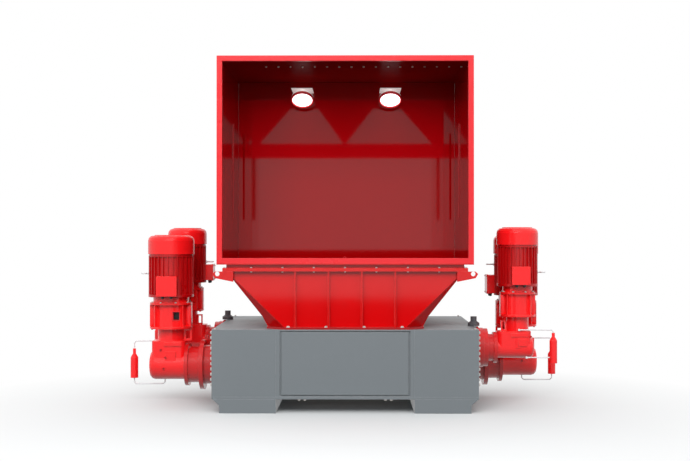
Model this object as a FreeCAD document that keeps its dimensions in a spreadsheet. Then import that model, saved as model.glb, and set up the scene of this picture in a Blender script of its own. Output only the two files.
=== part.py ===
import FreeCAD, Part
import math
import os
import Sketcher
from FreeCAD import Placement, Rotation, Vector

# Four shaft shredder: red hopper and funnel on a grey cutting chamber with four gearmotors.
# +Z is up, the open hopper mouth faces -Y and +X is to the right. The origin is the middle
# of the footprint on the floor. All sizes are millimetres.

sizes = {
    # Skids and base plate
    "skid_height": 129,
    "skid_inner_edge": 639,
    "skid_width": 522,
    "base_thickness": 22,
    "discharge_length": 1160,
    "discharge_width": 1120,
    "gusset_reach": 64,
    "gusset_drop": 56,
    "gusset_thickness": 16,
    # Grey body
    "body_length": 2460,
    "body_depth": 1840,
    "body_top_margin": 6,
    "chamber_length": 1280,
    "chamber_side_room": 52,
    "guide_drop": 150,
    "guide_lip": 70,
    "panel_length": 1164,
    "panel_rise": 19,
    "panel_drop": 23,
    "groove_width": 20,
    "groove_depth": 14,
    # Shafts and cutters
    "inner_shaft_height": 370,
    "outer_shaft_height": 564,
    "inner_cutter_radius": 205,
    "outer_cutter_radius": 140,
    "outer_spacer_radius": 92,
    "cutter_mesh_gap": 12,
    "cutter_pitch": 104,
    "cutter_gap": 3,
    "journal_radius": 60,
    "journal_reach": 70,
    "journal_clearance": 0.3,
    "cutter_hook_depth": 34,
    "end_cap_radius": 110,
    "end_cap_reach": 36,
    "end_cap_hub_radius": 70,
    "end_cap_hub_reach": 22,
    # Funnel
    "flange_thickness": 16,
    "funnel_foot_thickness": 18,
    "funnel_foot_length": 1464,
    "funnel_corner_cut": 139,
    "funnel_top_corner": 2,
    "funnel_foot_rear": 760,
    "funnel_top": 1321,
    "funnel_top_length": 2202,
    "funnel_top_rear": 600,
    "funnel_front_setback": 60,
    "funnel_skin": 10,
    "funnel_foot_wall_setback": 28,
    "flange_side_lip": 30,
    "rib_thickness": 14,
    "rib_pitch": 308,
    "rib_setback": 2,
    "side_gusset_height": 107,
    "side_gusset_inset": 19,
    # Lifting lugs
    "lug_eye_out": 77,
    "lug_eye_drop": 38,
    "lug_hole_radius": 21,
    "lug_radius": 45,
    "lug_thickness": 20,
    "lug_root_drop": 95,
    "lug_root_in": 70,
    # Hopper
    "hopper_overhang": 84,
    "hopper_floor": 1378,
    "hopper_top": 3296,
    "hopper_frame": 50,
    "hopper_back": 597,
    "hopper_skin": 8,
    "hopper_floor_thickness": 10,
    "hopper_rib_pitch": 360,
    "wall_strip_width": 40,
    "wall_strip_proud": 10,
    "wall_strip_rise": 436,
    "wall_strip_drop": 488,
    "wall_strip_place": 20,
    # Floodlights
    "lamp_offset": 453,
    "lamp_drop": 207,
    "lamp_radius": 112,
    "lamp_depth": 60,
    "lamp_from_back": 250,
    "lamp_bracket_width": 215,
    "lamp_bracket_rise": 96,
    "lamp_bracket_lead": 130,
    "lamp_bracket_thickness": 8,
    "lamp_stem_width": 34,
    "lamp_stem_depth": 46,
    # Inner drives
    "inner_housing_radius": 202,
    "inner_housing_reach": 150,
    "inner_plate_radius": 243,
    "inner_plate_reach": 191,
    "inner_ring_radius": 176,
    "inner_ring_reach": 304,
    "inner_front_plate_radius": 207,
    "inner_front_plate_reach": 338,
    "inner_gearbox_reach": 690,
    "inner_gearbox_radius": 145,
    "inner_gearbox_rise": 238,
    "inner_gearbox_width": 250,
    "inner_pad_low": 27,
    "inner_pad_high": 137,
    "inner_pad_length": 102,
    "inner_pad_place": 477,
    "inner_bar_start": 371,
    "inner_bar_length": 167,
    "inner_ear_rise": 112,
    "inner_ear_reach": 205,
    "inner_motor_place": 490,
    "inner_neck_radius": 128,
    "inner_lantern_low": 726,
    "inner_lantern_high": 981,
    "inner_lantern_flange": 207,
    "inner_lantern_drum": 162,
    "inner_motor_low": 1036,
    "inner_motor_high": 1454,
    "inner_motor_radius": 221,
    "inner_cowl_high": 1637,
    "inner_cowl_radius": 226,
    "inner_box_width": 188,
    "inner_box_low": 1056,
    "inner_box_high": 1240,
    "inner_tank_place": 852,
    "inner_tank_radius": 38,
    "inner_tank_low": 239,
    "inner_tank_shoulder": 439,
    "inner_tank_high": 525,
    "inner_pipe_high": 600,
    "inner_pipe_low": 180,
    "inner_pipe_foot": 549,
    # Outer drives
    "outer_housing_radius": 200,
    "outer_housing_reach": 84,
    "outer_plate_radius": 182,
    "outer_plate_reach": 127,
    "outer_ring_radius": 128,
    "outer_ring_reach": 183,
    "outer_front_plate_radius": 148,
    "outer_front_plate_reach": 218,
    "outer_gearbox_reach": 567,
    "outer_gearbox_radius": 100,
    "outer_gearbox_rise": 156,
    "outer_gearbox_width": 200,
    "outer_pad_low": 18,
    "outer_pad_high": 86,
    "outer_pad_length": 76,
    "outer_pad_place": 455,
    "outer_bar_start": 346,
    "outer_bar_length": 161,
    "outer_ear_rise": 102,
    "outer_ear_reach": 158,
    "outer_motor_place": 420,
    "outer_neck_radius": 105,
    "outer_lantern_low": 862,
    "outer_lantern_high": 1097,
    "outer_lantern_flange": 170,
    "outer_lantern_drum": 130,
    "outer_motor_low": 1153,
    "outer_motor_high": 1549,
    "outer_motor_radius": 195,
    "outer_cowl_high": 1710,
    "outer_cowl_radius": 199,
    "outer_box_width": 163,
    "outer_box_low": 1178,
    "outer_box_high": 1340,
    "outer_tank_place": 745,
    "outer_tank_radius": 36,
    "outer_tank_low": 425,
    "outer_tank_shoulder": 640,
    "outer_tank_high": 712,
    "outer_pipe_high": 740,
    "outer_pipe_low": 478,
    "outer_pipe_foot": 491,
    "outer_pipe_side": 121,
    # Shared drive sizes
    "lantern_flange_thickness": 20,
    "lantern_rib_thickness": 14,
    "lantern_deck_step": 12,
    "lantern_rib_inset": 8,
    "window_width": 57,
    "window_height": 77,
    "window_depth": 55,
    "window_offset": 71,
    "casting_end_room": 25,
    "casting_corner": 45,
    "casting_pad_proud": 12,
    "casting_bar_drop": 48,
    "casting_bar_height": 34,
    "ear_thickness": 24,
    "housing_step": 12,
    "fin_depth": 26,
    "fin_thickness": 7,
    "end_shield_height": 25,
    "end_shield_step": 6,
    "cowl_corner": 50,
    "pedestal_proud": 4,
    "box_depth": 78,
    "box_lid_lip": 5,
    "box_lid_thickness": 14,
    "tank_neck_radius": 15,
    "pipe_radius": 6,
    "pipe_bend": 18,
    "fitting_radius": 11,
    "lubricator_radius": 56,
    "lubricator_base": 46,
    "lubricator_foot": 28,
    "lubricator_cap_radius": 30,
    "lubricator_height": 90,
    # General
    "seat_gap": 0.3,
    "weld_sink": 3,
}

cutters_per_shaft = 12
hooks_per_cutter = 6
fins_per_motor = 28
lantern_ribs = 4
spacer_sides = 12
pipe_sides = 8
corner_cuts = 3
lamp_tilt = 35
barrel_rounding = 0.35


class Size:
    # A length together with the sheet formula that gives it
    def __init__(self, formula, number):
        self.formula = formula
        self.number = float(number)

    def __float__(self):
        return self.number

    def __add__(self, other):
        other = as_size(other)
        return Size(f"({self.formula} + {other.formula})", self.number + other.number)

    def __radd__(self, other):
        return as_size(other) + self

    def __sub__(self, other):
        other = as_size(other)
        return Size(f"({self.formula} - {other.formula})", self.number - other.number)

    def __rsub__(self, other):
        return as_size(other) - self

    def __mul__(self, factor):
        factor = as_size(factor)
        return Size(f"({self.formula} * {factor.formula})", self.number * factor.number)

    def __rmul__(self, factor):
        return as_size(factor) * self

    def __truediv__(self, factor):
        factor = as_size(factor)
        return Size(f"({self.formula} / {factor.formula})", self.number / factor.number)

    def __neg__(self):
        return Size(f"(0 - {self.formula})", -self.number)

    def root(self):
        return Size(f"sqrt({self.formula})", math.sqrt(self.number))


def as_size(value):
    if isinstance(value, Size):
        return value
    return Size(f"({float(value):.9f})", value)


class SizeSheet:
    # The driving sizes as formulas on the document's sheet
    def __init__(self, doc, values):
        self.values = values
        sheet = doc.addObject("Spreadsheet::Sheet", "Sizes")
        for row, (name, value) in enumerate(values.items(), start=1):
            sheet.set(f"A{row}", name)
            sheet.set(f"B{row}", str(value))
            sheet.setAlias(f"B{row}", name)

    def __getattr__(self, name):
        return Size(f"Sizes.{name}", self.values[name])

    def named(self, name):
        return Size(f"Sizes.{name}", self.values[name])


doc = FreeCAD.newDocument("FourShaftShredder")
size = SizeSheet(doc, sizes)
doc.recompute()
nodes = []


def bind(thing, prop, value):
    thing.setExpression(prop, as_size(value).formula)


def place(thing, x=0, y=0, z=0, turn=0, axis=Vector(0, 0, 1)):
    # Turn the piece about an axis through its own origin, then move it
    thing.Placement = Placement(Vector(float(x), float(y), float(z)), Rotation(axis, turn))
    for letter, value in (("x", x), ("y", y), ("z", z)):
        bind(thing, f"Placement.Base.{letter}", value)
    return thing


def new_body(label):
    body = doc.addObject("PartDesign::Body", label)
    body.Label = label
    return body


def plane_of(body, role):
    return next(item for item in body.Origin.OriginFeatures if item.Role == role)


def new_sketch(body, name, role, lift=0):
    sketch = body.newObject("Sketcher::SketchObject", name)
    sketch.AttachmentSupport = (plane_of(body, role), [""])
    sketch.MapMode = "FlatFace"
    sketch.AttachmentOffset = Placement(Vector(0, 0, float(lift)), Rotation())
    bind(sketch, "AttachmentOffset.Base.z", lift)
    return sketch


def pin_point(sketch, element, vertex, point):
    for kind, value in (("DistanceX", point[0]), ("DistanceY", point[1])):
        rule = Sketcher.Constraint(kind, -1, 1, element, vertex, float(value))
        number = sketch.addConstraint(rule)
        bind(sketch, f"Constraints[{number}]", value)


def toward(start, end):
    # Unit step between two points of an upright or level edge
    run_x = float(end[0]) - float(start[0])
    run_y = float(end[1]) - float(start[1])
    length = math.hypot(run_x, run_y)
    return run_x / length, run_y / length


def draw_line(sketch, points, closed=True):
    # Straight runs between points. A point with a third value is a square corner that is
    # rounded to that radius.
    pieces = []
    for number, point in enumerate(points):
        if len(point) == 2:
            pieces.append(("point", (point[0], point[1])))
            continue
        before = points[number - 1]
        after = points[(number + 1) % len(points)]
        back = toward(point, before)
        ahead = toward(point, after)
        radius = as_size(point[2])
        first = (as_size(point[0]) + radius * back[0], as_size(point[1]) + radius * back[1])
        last = (as_size(point[0]) + radius * ahead[0], as_size(point[1]) + radius * ahead[1])
        centre = (first[0] + radius * ahead[0], first[1] + radius * ahead[1])
        pieces.append(("arc", first, last, centre, radius, back[0] * ahead[1] - back[1] * ahead[0]))
    elements = []
    count = len(pieces)
    for number, piece in enumerate(pieces):
        start = piece[1]
        if piece[0] == "arc":
            _, first, last, centre, radius, cross = piece
            middle = Vector(float(centre[0]), float(centre[1]), 0)
            round_edge = Part.Circle(middle, Vector(0, 0, 1), float(radius))
            ends = [first, last] if cross < 0 else [last, first]
            angles = [
                math.atan2(float(end[1]) - middle.y, float(end[0]) - middle.x) for end in ends
            ]
            if angles[1] < angles[0]:
                angles[1] += 2 * math.pi
            arc = Part.ArcOfCircle(round_edge, angles[0], angles[1])
            element = sketch.addGeometry(arc)
            vertex_first, vertex_last = (1, 2) if cross < 0 else (2, 1)
            pin_point(sketch, element, vertex_first, first)
            rule = sketch.addConstraint(Sketcher.Constraint("Radius", element, float(radius)))
            bind(sketch, f"Constraints[{rule}]", radius)
            elements.append((element, vertex_first, vertex_last))
            start = last
        if number == count - 1 and not closed:
            break
        end = pieces[(number + 1) % count][1]
        line = Part.LineSegment(
            Vector(float(start[0]), float(start[1]), 0), Vector(float(end[0]), float(end[1]), 0)
        )
        element = sketch.addGeometry(line)
        pin_point(sketch, element, 1, start)
        elements.append((element, 1, 2))
    last_link = len(elements) if closed else len(elements) - 1
    for number in range(last_link):
        element, _, tail = elements[number]
        follower, head, _ = elements[(number + 1) % len(elements)]
        sketch.addConstraint(Sketcher.Constraint("Coincident", element, tail, follower, head))
    if not closed:
        element, _, tail = elements[-1]
        pin_point(sketch, element, tail, points[-1][:2])


def draw_circle(sketch, x, y, radius):
    circle = Part.Circle(Vector(float(x), float(y), 0), Vector(0, 0, 1), float(radius))
    element = sketch.addGeometry(circle)
    pin_point(sketch, element, 3, (x, y))
    rule = sketch.addConstraint(Sketcher.Constraint("Radius", element, float(radius)))
    bind(sketch, f"Constraints[{rule}]", radius)


def block_outline(low_x, high_x, low_y, high_y, radius=None):
    corners = [(low_x, low_y), (high_x, low_y), (high_x, high_y), (low_x, high_y)]
    if radius is None:
        return corners
    return [(x, y, radius) for x, y in corners]


def ring_outline(radius, sides, middle_x=0, middle_y=0):
    # Regular outline with a flat side on top
    points = []
    for number in range(sides):
        angle = math.pi * (2 * number + 1) / sides
        points.append((middle_x + radius * math.sin(angle), middle_y + radius * math.cos(angle)))
    return points


def cut_corner(x, z, radius):
    # Rounded upper outer corner of a turned outline, as short straight cuts
    points = []
    for step in range(corner_cuts + 1):
        angle = math.pi / 2 * step / corner_cuts
        points.append((x - radius * (1 - math.cos(angle)), z - radius * (1 - math.sin(angle))))
    return points


def pad(body, name, sketch, length, middle=False, backward=False):
    feature = body.newObject("PartDesign::Pad", name)
    feature.Profile = sketch
    feature.Length = float(length)
    bind(feature, "Length", length)
    feature.Midplane = middle
    feature.Reversed = backward
    body.Tip = feature
    return feature


def pocket(body, name, sketch, length, middle=False, backward=False):
    # Cut the sketch to a depth and make sure that the cut removed something
    doc.recompute()
    volume_before = body.Shape.Volume
    feature = body.newObject("PartDesign::Pocket", name)
    feature.Profile = sketch
    feature.Length = float(length)
    bind(feature, "Length", length)
    feature.Midplane = middle
    feature.Reversed = backward
    body.Tip = feature
    doc.recompute()
    if body.Shape.Volume >= volume_before - 1:
        raise ValueError(f"{body.Label}: {name} cuts nothing")
    return feature


def revolve(body, name, sketch, axis="V_Axis"):
    feature = body.newObject("PartDesign::Revolution", name)
    feature.Profile = sketch
    feature.ReferenceAxis = (sketch, [axis])
    feature.Angle = 360
    body.Tip = feature
    return feature


def row_of(body, name, features, sketch, axis, span, count):
    feature = body.newObject("PartDesign::LinearPattern", name)
    feature.Originals = features
    feature.Direction = (sketch, [axis])
    feature.Length = float(span)
    bind(feature, "Length", span)
    feature.Occurrences = count
    body.Tip = feature
    return feature


def ring_of(body, name, features, sketch, count):
    feature = body.newObject("PartDesign::PolarPattern", name)
    feature.Originals = features
    feature.Axis = (sketch, ["N_Axis"])
    feature.Angle = 360
    feature.Occurrences = count
    body.Tip = feature
    return feature


def block(name, low_x, high_x, low_y, high_y, low_z, high_z):
    box = doc.addObject("Part::Box", name)
    bind(box, "Length", as_size(high_x) - low_x)
    bind(box, "Width", as_size(high_y) - low_y)
    bind(box, "Height", as_size(high_z) - low_z)
    return place(box, low_x, low_y, low_z)


def fuse(name, pieces):
    joined = doc.addObject("Part::MultiFuse", name)
    joined.Shapes = pieces
    joined.Refine = True
    return joined


def cut(name, base, tool):
    result = doc.addObject("Part::Cut", name)
    result.Base = base
    result.Tool = tool
    return result


def common(name, first, second):
    result = doc.addObject("Part::Common", name)
    result.Base = first
    result.Tool = second
    return result


def common_of(name, pieces):
    result = doc.addObject("Part::MultiCommon", name)
    result.Shapes = pieces
    result.Refine = True
    return result


def group(name, pieces):
    together = doc.addObject("Part::Compound", name)
    together.Links = pieces
    return together


def keep(thing, label):
    # Mark an object as a finished sub-part of the machine
    thing.Label = label
    nodes.append(thing)
    return thing


# Values that several sub-parts share
half_length = size.body_length / 2
half_depth = size.body_depth / 2
base_top = size.skid_height + size.base_thickness
chamber_end = size.chamber_length / 2
body_top = size.outer_shaft_height + size.outer_housing_radius + size.body_top_margin
funnel_foot_top = body_top + size.funnel_foot_thickness

# The shafts stand as far apart as their meshing cutters and spacers need
inner_spacer_radius = size.inner_cutter_radius + size.outer_spacer_radius - size.outer_cutter_radius
inner_shaft_offset = (size.inner_cutter_radius + inner_spacer_radius + size.cutter_mesh_gap) / 2
mesh_distance = size.inner_cutter_radius + size.outer_spacer_radius + size.cutter_mesh_gap
mesh_rise = size.outer_shaft_height - size.inner_shaft_height
mesh_run = (mesh_distance * mesh_distance - mesh_rise * mesh_rise).root()
outer_shaft_offset = inner_shaft_offset + mesh_run
chamber_side = outer_shaft_offset + size.outer_cutter_radius + size.chamber_side_room
front_wall_face = size.funnel_front_setback - half_depth
funnel_foot_half = size.funnel_foot_length / 2 - size.funnel_foot_wall_setback
hopper_half = size.funnel_top_length / 2 + size.hopper_overhang
hopper_inside = hopper_half - size.hopper_frame
hopper_rear = size.hopper_back + size.hopper_frame
hopper_front = size.hopper_frame - half_depth
ceiling = size.hopper_top - size.hopper_frame


def make_base_plate():
    body = new_body("base_plate")
    outline = new_sketch(body, "base_outline", "XY_Plane", size.skid_height)
    draw_line(outline, block_outline(-half_length, half_length, -half_depth, half_depth))
    half_opening = size.discharge_length / 2
    half_width = size.discharge_width / 2
    draw_line(outline, block_outline(-half_opening, half_opening, -half_width, half_width))
    pad(body, "base_pad", outline, size.base_thickness)
    return keep(body, "base_plate")


def make_skid(label, turn):
    # A full-depth box skid with a triangular gusset at each end of its outer side
    body = new_body(label)
    outline = new_sketch(body, label + "_outline", "XZ_Plane")
    outer = size.skid_inner_edge + size.skid_width
    draw_line(outline, block_outline(size.skid_inner_edge, outer, 0, size.skid_height))
    pad(body, label + "_beam", outline, size.body_depth, middle=True)
    gusset = new_sketch(body, label + "_gusset", "XZ_Plane", half_depth - size.gusset_thickness)
    top = size.skid_height
    root = outer - size.weld_sink
    points = [(root, top - size.gusset_drop), (outer, top - size.gusset_drop)]
    points += [(outer + size.gusset_reach, top), (root, top)]
    draw_line(gusset, points)
    fin = pad(body, label + "_gusset_pad", gusset, size.gusset_thickness)
    span = size.body_depth - size.gusset_thickness
    row = row_of(body, label + "_gussets", [fin], gusset, "N_Axis", span, 3)
    row.Reversed = True
    place(body, turn=turn)
    return keep(body, label)


def shaft_places():
    return [
        (-outer_shaft_offset, size.outer_shaft_height),
        (-inner_shaft_offset, size.inner_shaft_height),
        (inner_shaft_offset, size.inner_shaft_height),
        (outer_shaft_offset, size.outer_shaft_height),
    ]


def make_bearing_box(label, turn):
    # End housing that carries the journals of the four shafts
    body = new_body(label)
    outline = new_sketch(body, label + "_outline", "YZ_Plane", chamber_end)
    draw_line(outline, block_outline(-half_depth, half_depth, base_top, body_top))
    pad(body, label + "_pad", outline, half_length - chamber_end)
    bores = new_sketch(body, label + "_bores", "YZ_Plane", chamber_end)
    for offset, height in shaft_places():
        draw_circle(bores, offset, height, size.journal_radius + size.journal_clearance)
    pocket(body, label + "_pocket", bores, size.journal_reach + 1, backward=True)
    place(body, turn=turn)
    return keep(body, label)


def make_long_wall(label, turn):
    # Wall between the bearing boxes, with a sloped inner guide and a panel framed by a groove
    body = new_body(label)
    outline = new_sketch(body, label + "_outline", "YZ_Plane")
    points = [
        (-half_depth, base_top),
        (-chamber_side, base_top),
        (-chamber_side, body_top - size.guide_drop),
        (size.guide_lip - half_depth, body_top),
        (-half_depth, body_top),
    ]
    draw_line(outline, points)
    wall_length = size.chamber_length - 2 * size.seat_gap
    pad(body, label + "_pad", outline, wall_length, middle=True)
    groove = new_sketch(body, label + "_groove", "XZ_Plane", half_depth)
    half_panel = size.panel_length / 2
    low, high = base_top + size.panel_rise, body_top - size.panel_drop
    wide = size.groove_width
    draw_line(groove, block_outline(-half_panel, half_panel, low, high))
    edge = block_outline(-half_panel - wide, half_panel + wide, low - wide / 2, high + wide / 2)
    draw_line(groove, edge)
    pocket(body, label + "_pocket", groove, size.groove_depth)
    place(body, turn=turn)
    return keep(body, label)


def cutter_outline(radius, hook_depth, turn):
    # Saw-toothed disc: each hook rises slowly to its tip and drops steeply behind it
    points = []
    for hook in range(hooks_per_cutter):
        start = 2 * math.pi * hook / hooks_per_cutter + turn
        step = 2 * math.pi / hooks_per_cutter
        for share, depth in ((0.0, 0.0), (0.10, 0.05), (0.16, 1.0), (0.55, 0.62)):
            angle = start + share * step
            reach = radius - hook_depth * depth
            points.append((reach * math.cos(angle), reach * math.sin(angle)))
    return points


def make_cutter_shaft(label, offset, height, radius, spacer, phase):
    # Journals, many-sided spacer barrel and two interleaved rows of hooked discs
    body = new_body(label)
    journal = new_sketch(body, label + "_journal", "YZ_Plane")
    draw_circle(journal, 0, 0, size.journal_radius)
    journal_length = 2 * (chamber_end + size.journal_reach)
    pad(body, label + "_journal_pad", journal, journal_length, middle=True)
    barrel = new_sketch(body, label + "_barrel", "YZ_Plane")
    draw_line(barrel, ring_outline(spacer, spacer_sides))
    pad(body, label + "_barrel_pad", barrel, 2 * (chamber_end - size.cutter_gap), middle=True)
    thickness = size.cutter_pitch / 2 - size.cutter_gap
    first = size.cutter_pitch * (phase / 2 - cutters_per_shaft / 2) + size.cutter_gap / 2
    for half in (0, 1):
        lift = first + size.cutter_pitch * half
        turn = math.pi / hooks_per_cutter * half
        disc = new_sketch(body, f"{label}_disc_{half}", "YZ_Plane", lift)
        draw_line(disc, cutter_outline(radius, size.cutter_hook_depth, turn))
        cutter = pad(body, f"{label}_cutter_{half}", disc, thickness)
        span = 2 * size.cutter_pitch * (cutters_per_shaft / 2 - 1)
        row_name = f"{label}_cutters_{half}"
        row_of(body, row_name, [cutter], disc, "N_Axis", span, cutters_per_shaft // 2)
    place(body, 0, offset, height)
    return keep(body, label)


def make_end_caps():
    # Round covers over the shaft ends that have no drive
    caps = []
    inner, outer = inner_shaft_offset, outer_shaft_offset
    inner_z, outer_z = size.inner_shaft_height, size.outer_shaft_height
    spots = [("a", 1, -inner, inner_z), ("b", -1, -outer, outer_z)]
    spots += [("c", 1, outer, outer_z), ("d", -1, inner, inner_z)]
    for letter, side, offset, height in spots:
        body = new_body(f"end_cap_{letter}")
        profile = new_sketch(body, f"end_cap_{letter}_profile", "XZ_Plane")
        reach = size.end_cap_reach
        hub = size.end_cap_hub_radius
        points = [(0, 0), (reach + size.end_cap_hub_reach, 0)]
        points += [(reach + size.end_cap_hub_reach, hub), (reach, hub)]
        points += [(reach, size.end_cap_radius), (0, size.end_cap_radius)]
        draw_line(profile, points)
        revolve(body, f"end_cap_{letter}_turning", profile, "H_Axis")
        place(body, side * half_length, offset, height, turn=0 if side > 0 else 180)
        caps.append(body)
    return keep(group("end_caps", caps), "end_caps")


def octagon(half_x, low_y, high_y, corner):
    return [
        (corner - half_x, low_y), (half_x - corner, low_y),
        (half_x, low_y + corner), (half_x, high_y - corner),
        (half_x - corner, high_y), (corner - half_x, high_y),
        (-half_x, high_y - corner), (-half_x, low_y + corner),
    ]


def make_funnel_solid(name, inset):
    # Rectangle at the top and octagon at the foot, joined by flat faces: what a wedge
    # across, a wedge along and two diagonal wedges have in common
    low, high = funnel_foot_top, size.funnel_top - size.flange_thickness
    front = -front_wall_face
    foot_rear = size.funnel_foot_rear - size.funnel_foot_wall_setback
    top_half = size.funnel_top_length / 2
    top_rear = size.funnel_top_rear
    short = math.sqrt(0.5)
    foot_cut = funnel_foot_half - size.funnel_corner_cut
    top_cut = top_half - size.funnel_top_corner
    foot_front_corner = short * (foot_cut + front)
    foot_rear_corner = short * (foot_cut + foot_rear)
    top_front_corner = short * (top_cut + front)
    top_rear_corner = short * (top_cut + top_rear)
    spans = [
        ("across", "XZ_Plane", 0, funnel_foot_half, funnel_foot_half, top_half, top_half),
        ("along", "YZ_Plane", 0, front, foot_rear, front, top_rear),
        ("rising", "XZ_Plane", 45, foot_front_corner, foot_rear_corner, top_front_corner,
         top_rear_corner),
        ("falling", "XZ_Plane", -45, foot_rear_corner, foot_front_corner, top_rear_corner,
         top_front_corner),
    ]
    wedges = []
    for word, role, turn, foot_low, foot_high, top_low, top_high in spans:
        body = new_body(f"{name}_{word}")
        outline = new_sketch(body, f"{name}_{word}_outline", role)
        draw_line(outline, [(inset - foot_low, low), (foot_high - inset, low),
                            (top_high - inset, high), (inset - top_low, high)])
        pad(body, f"{name}_{word}_pad", outline, 2 * size.funnel_top_length, middle=True)
        wedges.append(place(body, turn=turn))
    return common_of(name, wedges)


def make_side_gussets(name, side):
    # Small upright plates in the angle between the foot flange and the sloped side panel
    body = new_body(name)
    thick = size.rib_thickness
    first = front_wall_face + size.funnel_corner_cut + size.side_gusset_inset + thick
    foot_rear = size.funnel_foot_rear - size.funnel_foot_wall_setback
    last = foot_rear - size.funnel_corner_cut - size.side_gusset_inset
    outline = new_sketch(body, name + "_outline", "XZ_Plane", -first)
    low = funnel_foot_top
    high = low + size.side_gusset_height
    lean = (size.funnel_top_length / 2 - funnel_foot_half) / (
        size.funnel_top - size.flange_thickness - low)
    panel = funnel_foot_half + lean * size.side_gusset_height
    draw_line(outline, [
        (side * (funnel_foot_half - size.weld_sink), low),
        (side * (size.funnel_foot_length / 2 - size.rib_setback), low),
        (side * (panel + size.rib_setback), high),
        (side * (panel - size.weld_sink), high),
    ])
    plate = pad(body, name + "_pad", outline, thick)
    row = row_of(body, name + "_row", [plate], outline, "N_Axis", last - first, 3)
    row.Reversed = True
    return body


def make_funnel():
    shell = cut("funnel_shell", make_funnel_solid("funnel_outer", as_size(0)),
                make_funnel_solid("funnel_inner", size.funnel_skin))
    low_z, high_z = funnel_foot_top, size.funnel_top - size.flange_thickness
    wide = size.funnel_top_length
    front_cut = front_wall_face + size.funnel_skin
    rear_cut = size.funnel_top_rear - size.funnel_skin
    front_zone = block("front_zone", -wide, wide, -half_depth, front_cut, low_z, high_z)
    ribs = [common("funnel_front_plate", shell, front_zone)]
    for number in range(4):
        middle = size.rib_pitch * (number - 1.5)
        low_x = middle - size.rib_thickness / 2
        high_x = middle + size.rib_thickness / 2
        ribs.append(block(f"front_rib_{number}", low_x, high_x, size.rib_setback - half_depth,
                          front_wall_face, low_z, high_z))
    keep(fuse("funnel_front", ribs), "funnel_front")
    rear_zone = block("rear_zone", -wide, wide, rear_cut, wide, low_z, high_z)
    keep(common("funnel_rear", shell, rear_zone), "funnel_rear")
    for word, side in (("left", -1), ("right", 1)):
        ends = (-wide, 0) if side < 0 else (0, wide)
        zone = block(f"{word}_zone", *ends, front_cut, rear_cut, low_z, high_z)
        panel = common(f"funnel_{word}_panel", shell, zone)
        gussets = make_side_gussets(f"funnel_{word}_gussets", side)
        keep(fuse(f"funnel_{word}", [panel, gussets]), f"funnel_{word}")


def make_funnel_foot():
    # Octagonal flange that bolts down on the body
    body = new_body("funnel_foot_flange")
    ring = new_sketch(body, "foot_flange_outline", "XY_Plane", body_top)
    half = size.funnel_foot_length / 2
    draw_line(ring, octagon(half, -half_depth, size.funnel_foot_rear, size.funnel_corner_cut))
    skin = size.funnel_skin
    inner_rear = size.funnel_foot_rear - size.funnel_foot_wall_setback - skin
    corner = size.funnel_corner_cut - (2 - math.sqrt(2)) * skin
    draw_line(ring, octagon(funnel_foot_half - skin, front_wall_face + skin, inner_rear, corner))
    pad(body, "foot_flange_pad", ring, size.funnel_foot_thickness)
    return keep(body, "funnel_foot_flange")


def make_funnel_top():
    # Bolting flange round the top of the funnel
    body = new_body("funnel_top_flange")
    lift = size.funnel_top - size.flange_thickness
    ring = new_sketch(body, "top_flange_outline", "XY_Plane", lift)
    half = size.funnel_top_length / 2
    rear = size.funnel_top_rear
    draw_line(ring, block_outline(-half - size.flange_side_lip, half + size.flange_side_lip,
                                  -half_depth, rear + size.funnel_front_setback))
    skin = size.funnel_skin
    draw_line(ring, block_outline(skin - half, half - skin, front_wall_face + skin, rear - skin))
    pad(body, "top_flange_pad", ring, size.flange_thickness)
    return keep(body, "funnel_top_flange")


def make_lifting_lugs():
    # Four upright plates at the corners under the top flange
    lugs = []
    top = size.funnel_top - size.flange_thickness
    edge_x = size.funnel_top_length / 2
    eye_x = edge_x + size.lug_eye_out
    eye_z = size.funnel_top - size.lug_eye_drop
    rear_y = size.funnel_top_rear + size.funnel_front_setback - size.lug_thickness
    lean = math.radians(30)
    for number, (side, low_y) in enumerate([(-1, -half_depth), (1, -half_depth),
                                            (-1, rear_y), (1, rear_y)]):
        name = f"lug_{number}"
        body = new_body(name)
        outline = new_sketch(body, name + "_outline", "XZ_Plane")
        reach = size.lug_radius
        draw_line(outline, [
            (side * (edge_x - size.lug_root_in), top - size.lug_root_drop),
            (side * (eye_x + reach * math.sin(lean)), eye_z - reach * math.cos(lean)),
            (side * (eye_x + reach), eye_z),
            (side * (eye_x + reach * math.sin(lean)), top),
            (side * (edge_x - size.lug_root_in), top),
        ])
        draw_circle(outline, side * eye_x, eye_z, size.lug_hole_radius)
        pad(body, name + "_pad", outline, size.lug_thickness, backward=True)
        place(body, 0, low_y, 0)
        lugs.append(body)
    return keep(group("lifting_lugs", lugs), "lifting_lugs")


def make_hopper_base():
    # Floor frame, short neck and bolting flange under the hopper
    body = new_body("hopper_base")
    lift = size.funnel_top
    skin = size.funnel_skin
    half = size.funnel_top_length / 2
    rear = size.funnel_top_rear
    flange = new_sketch(body, "hopper_flange_outline", "XY_Plane", lift)
    opening = block_outline(skin - half, half - skin, front_wall_face + skin, rear - skin)
    draw_line(flange, block_outline(-half - size.flange_side_lip, half + size.flange_side_lip,
                                    -half_depth, rear + size.funnel_front_setback))
    draw_line(flange, opening)
    pad(body, "hopper_flange_pad", flange, size.flange_thickness)
    neck = new_sketch(body, "hopper_neck_outline", "XY_Plane", lift)
    draw_line(neck, block_outline(-half, half, front_wall_face, rear))
    draw_line(neck, opening)
    pad(body, "hopper_neck_pad", neck, size.hopper_floor - lift)
    floor = new_sketch(body, "hopper_floor_outline", "XY_Plane",
                       size.hopper_floor - size.hopper_floor_thickness)
    draw_line(floor, block_outline(-hopper_half, hopper_half, -half_depth, hopper_rear))
    draw_line(floor, opening)
    pad(body, "hopper_floor_pad", floor, size.hopper_floor_thickness)
    return keep(body, "hopper_base")


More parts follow.
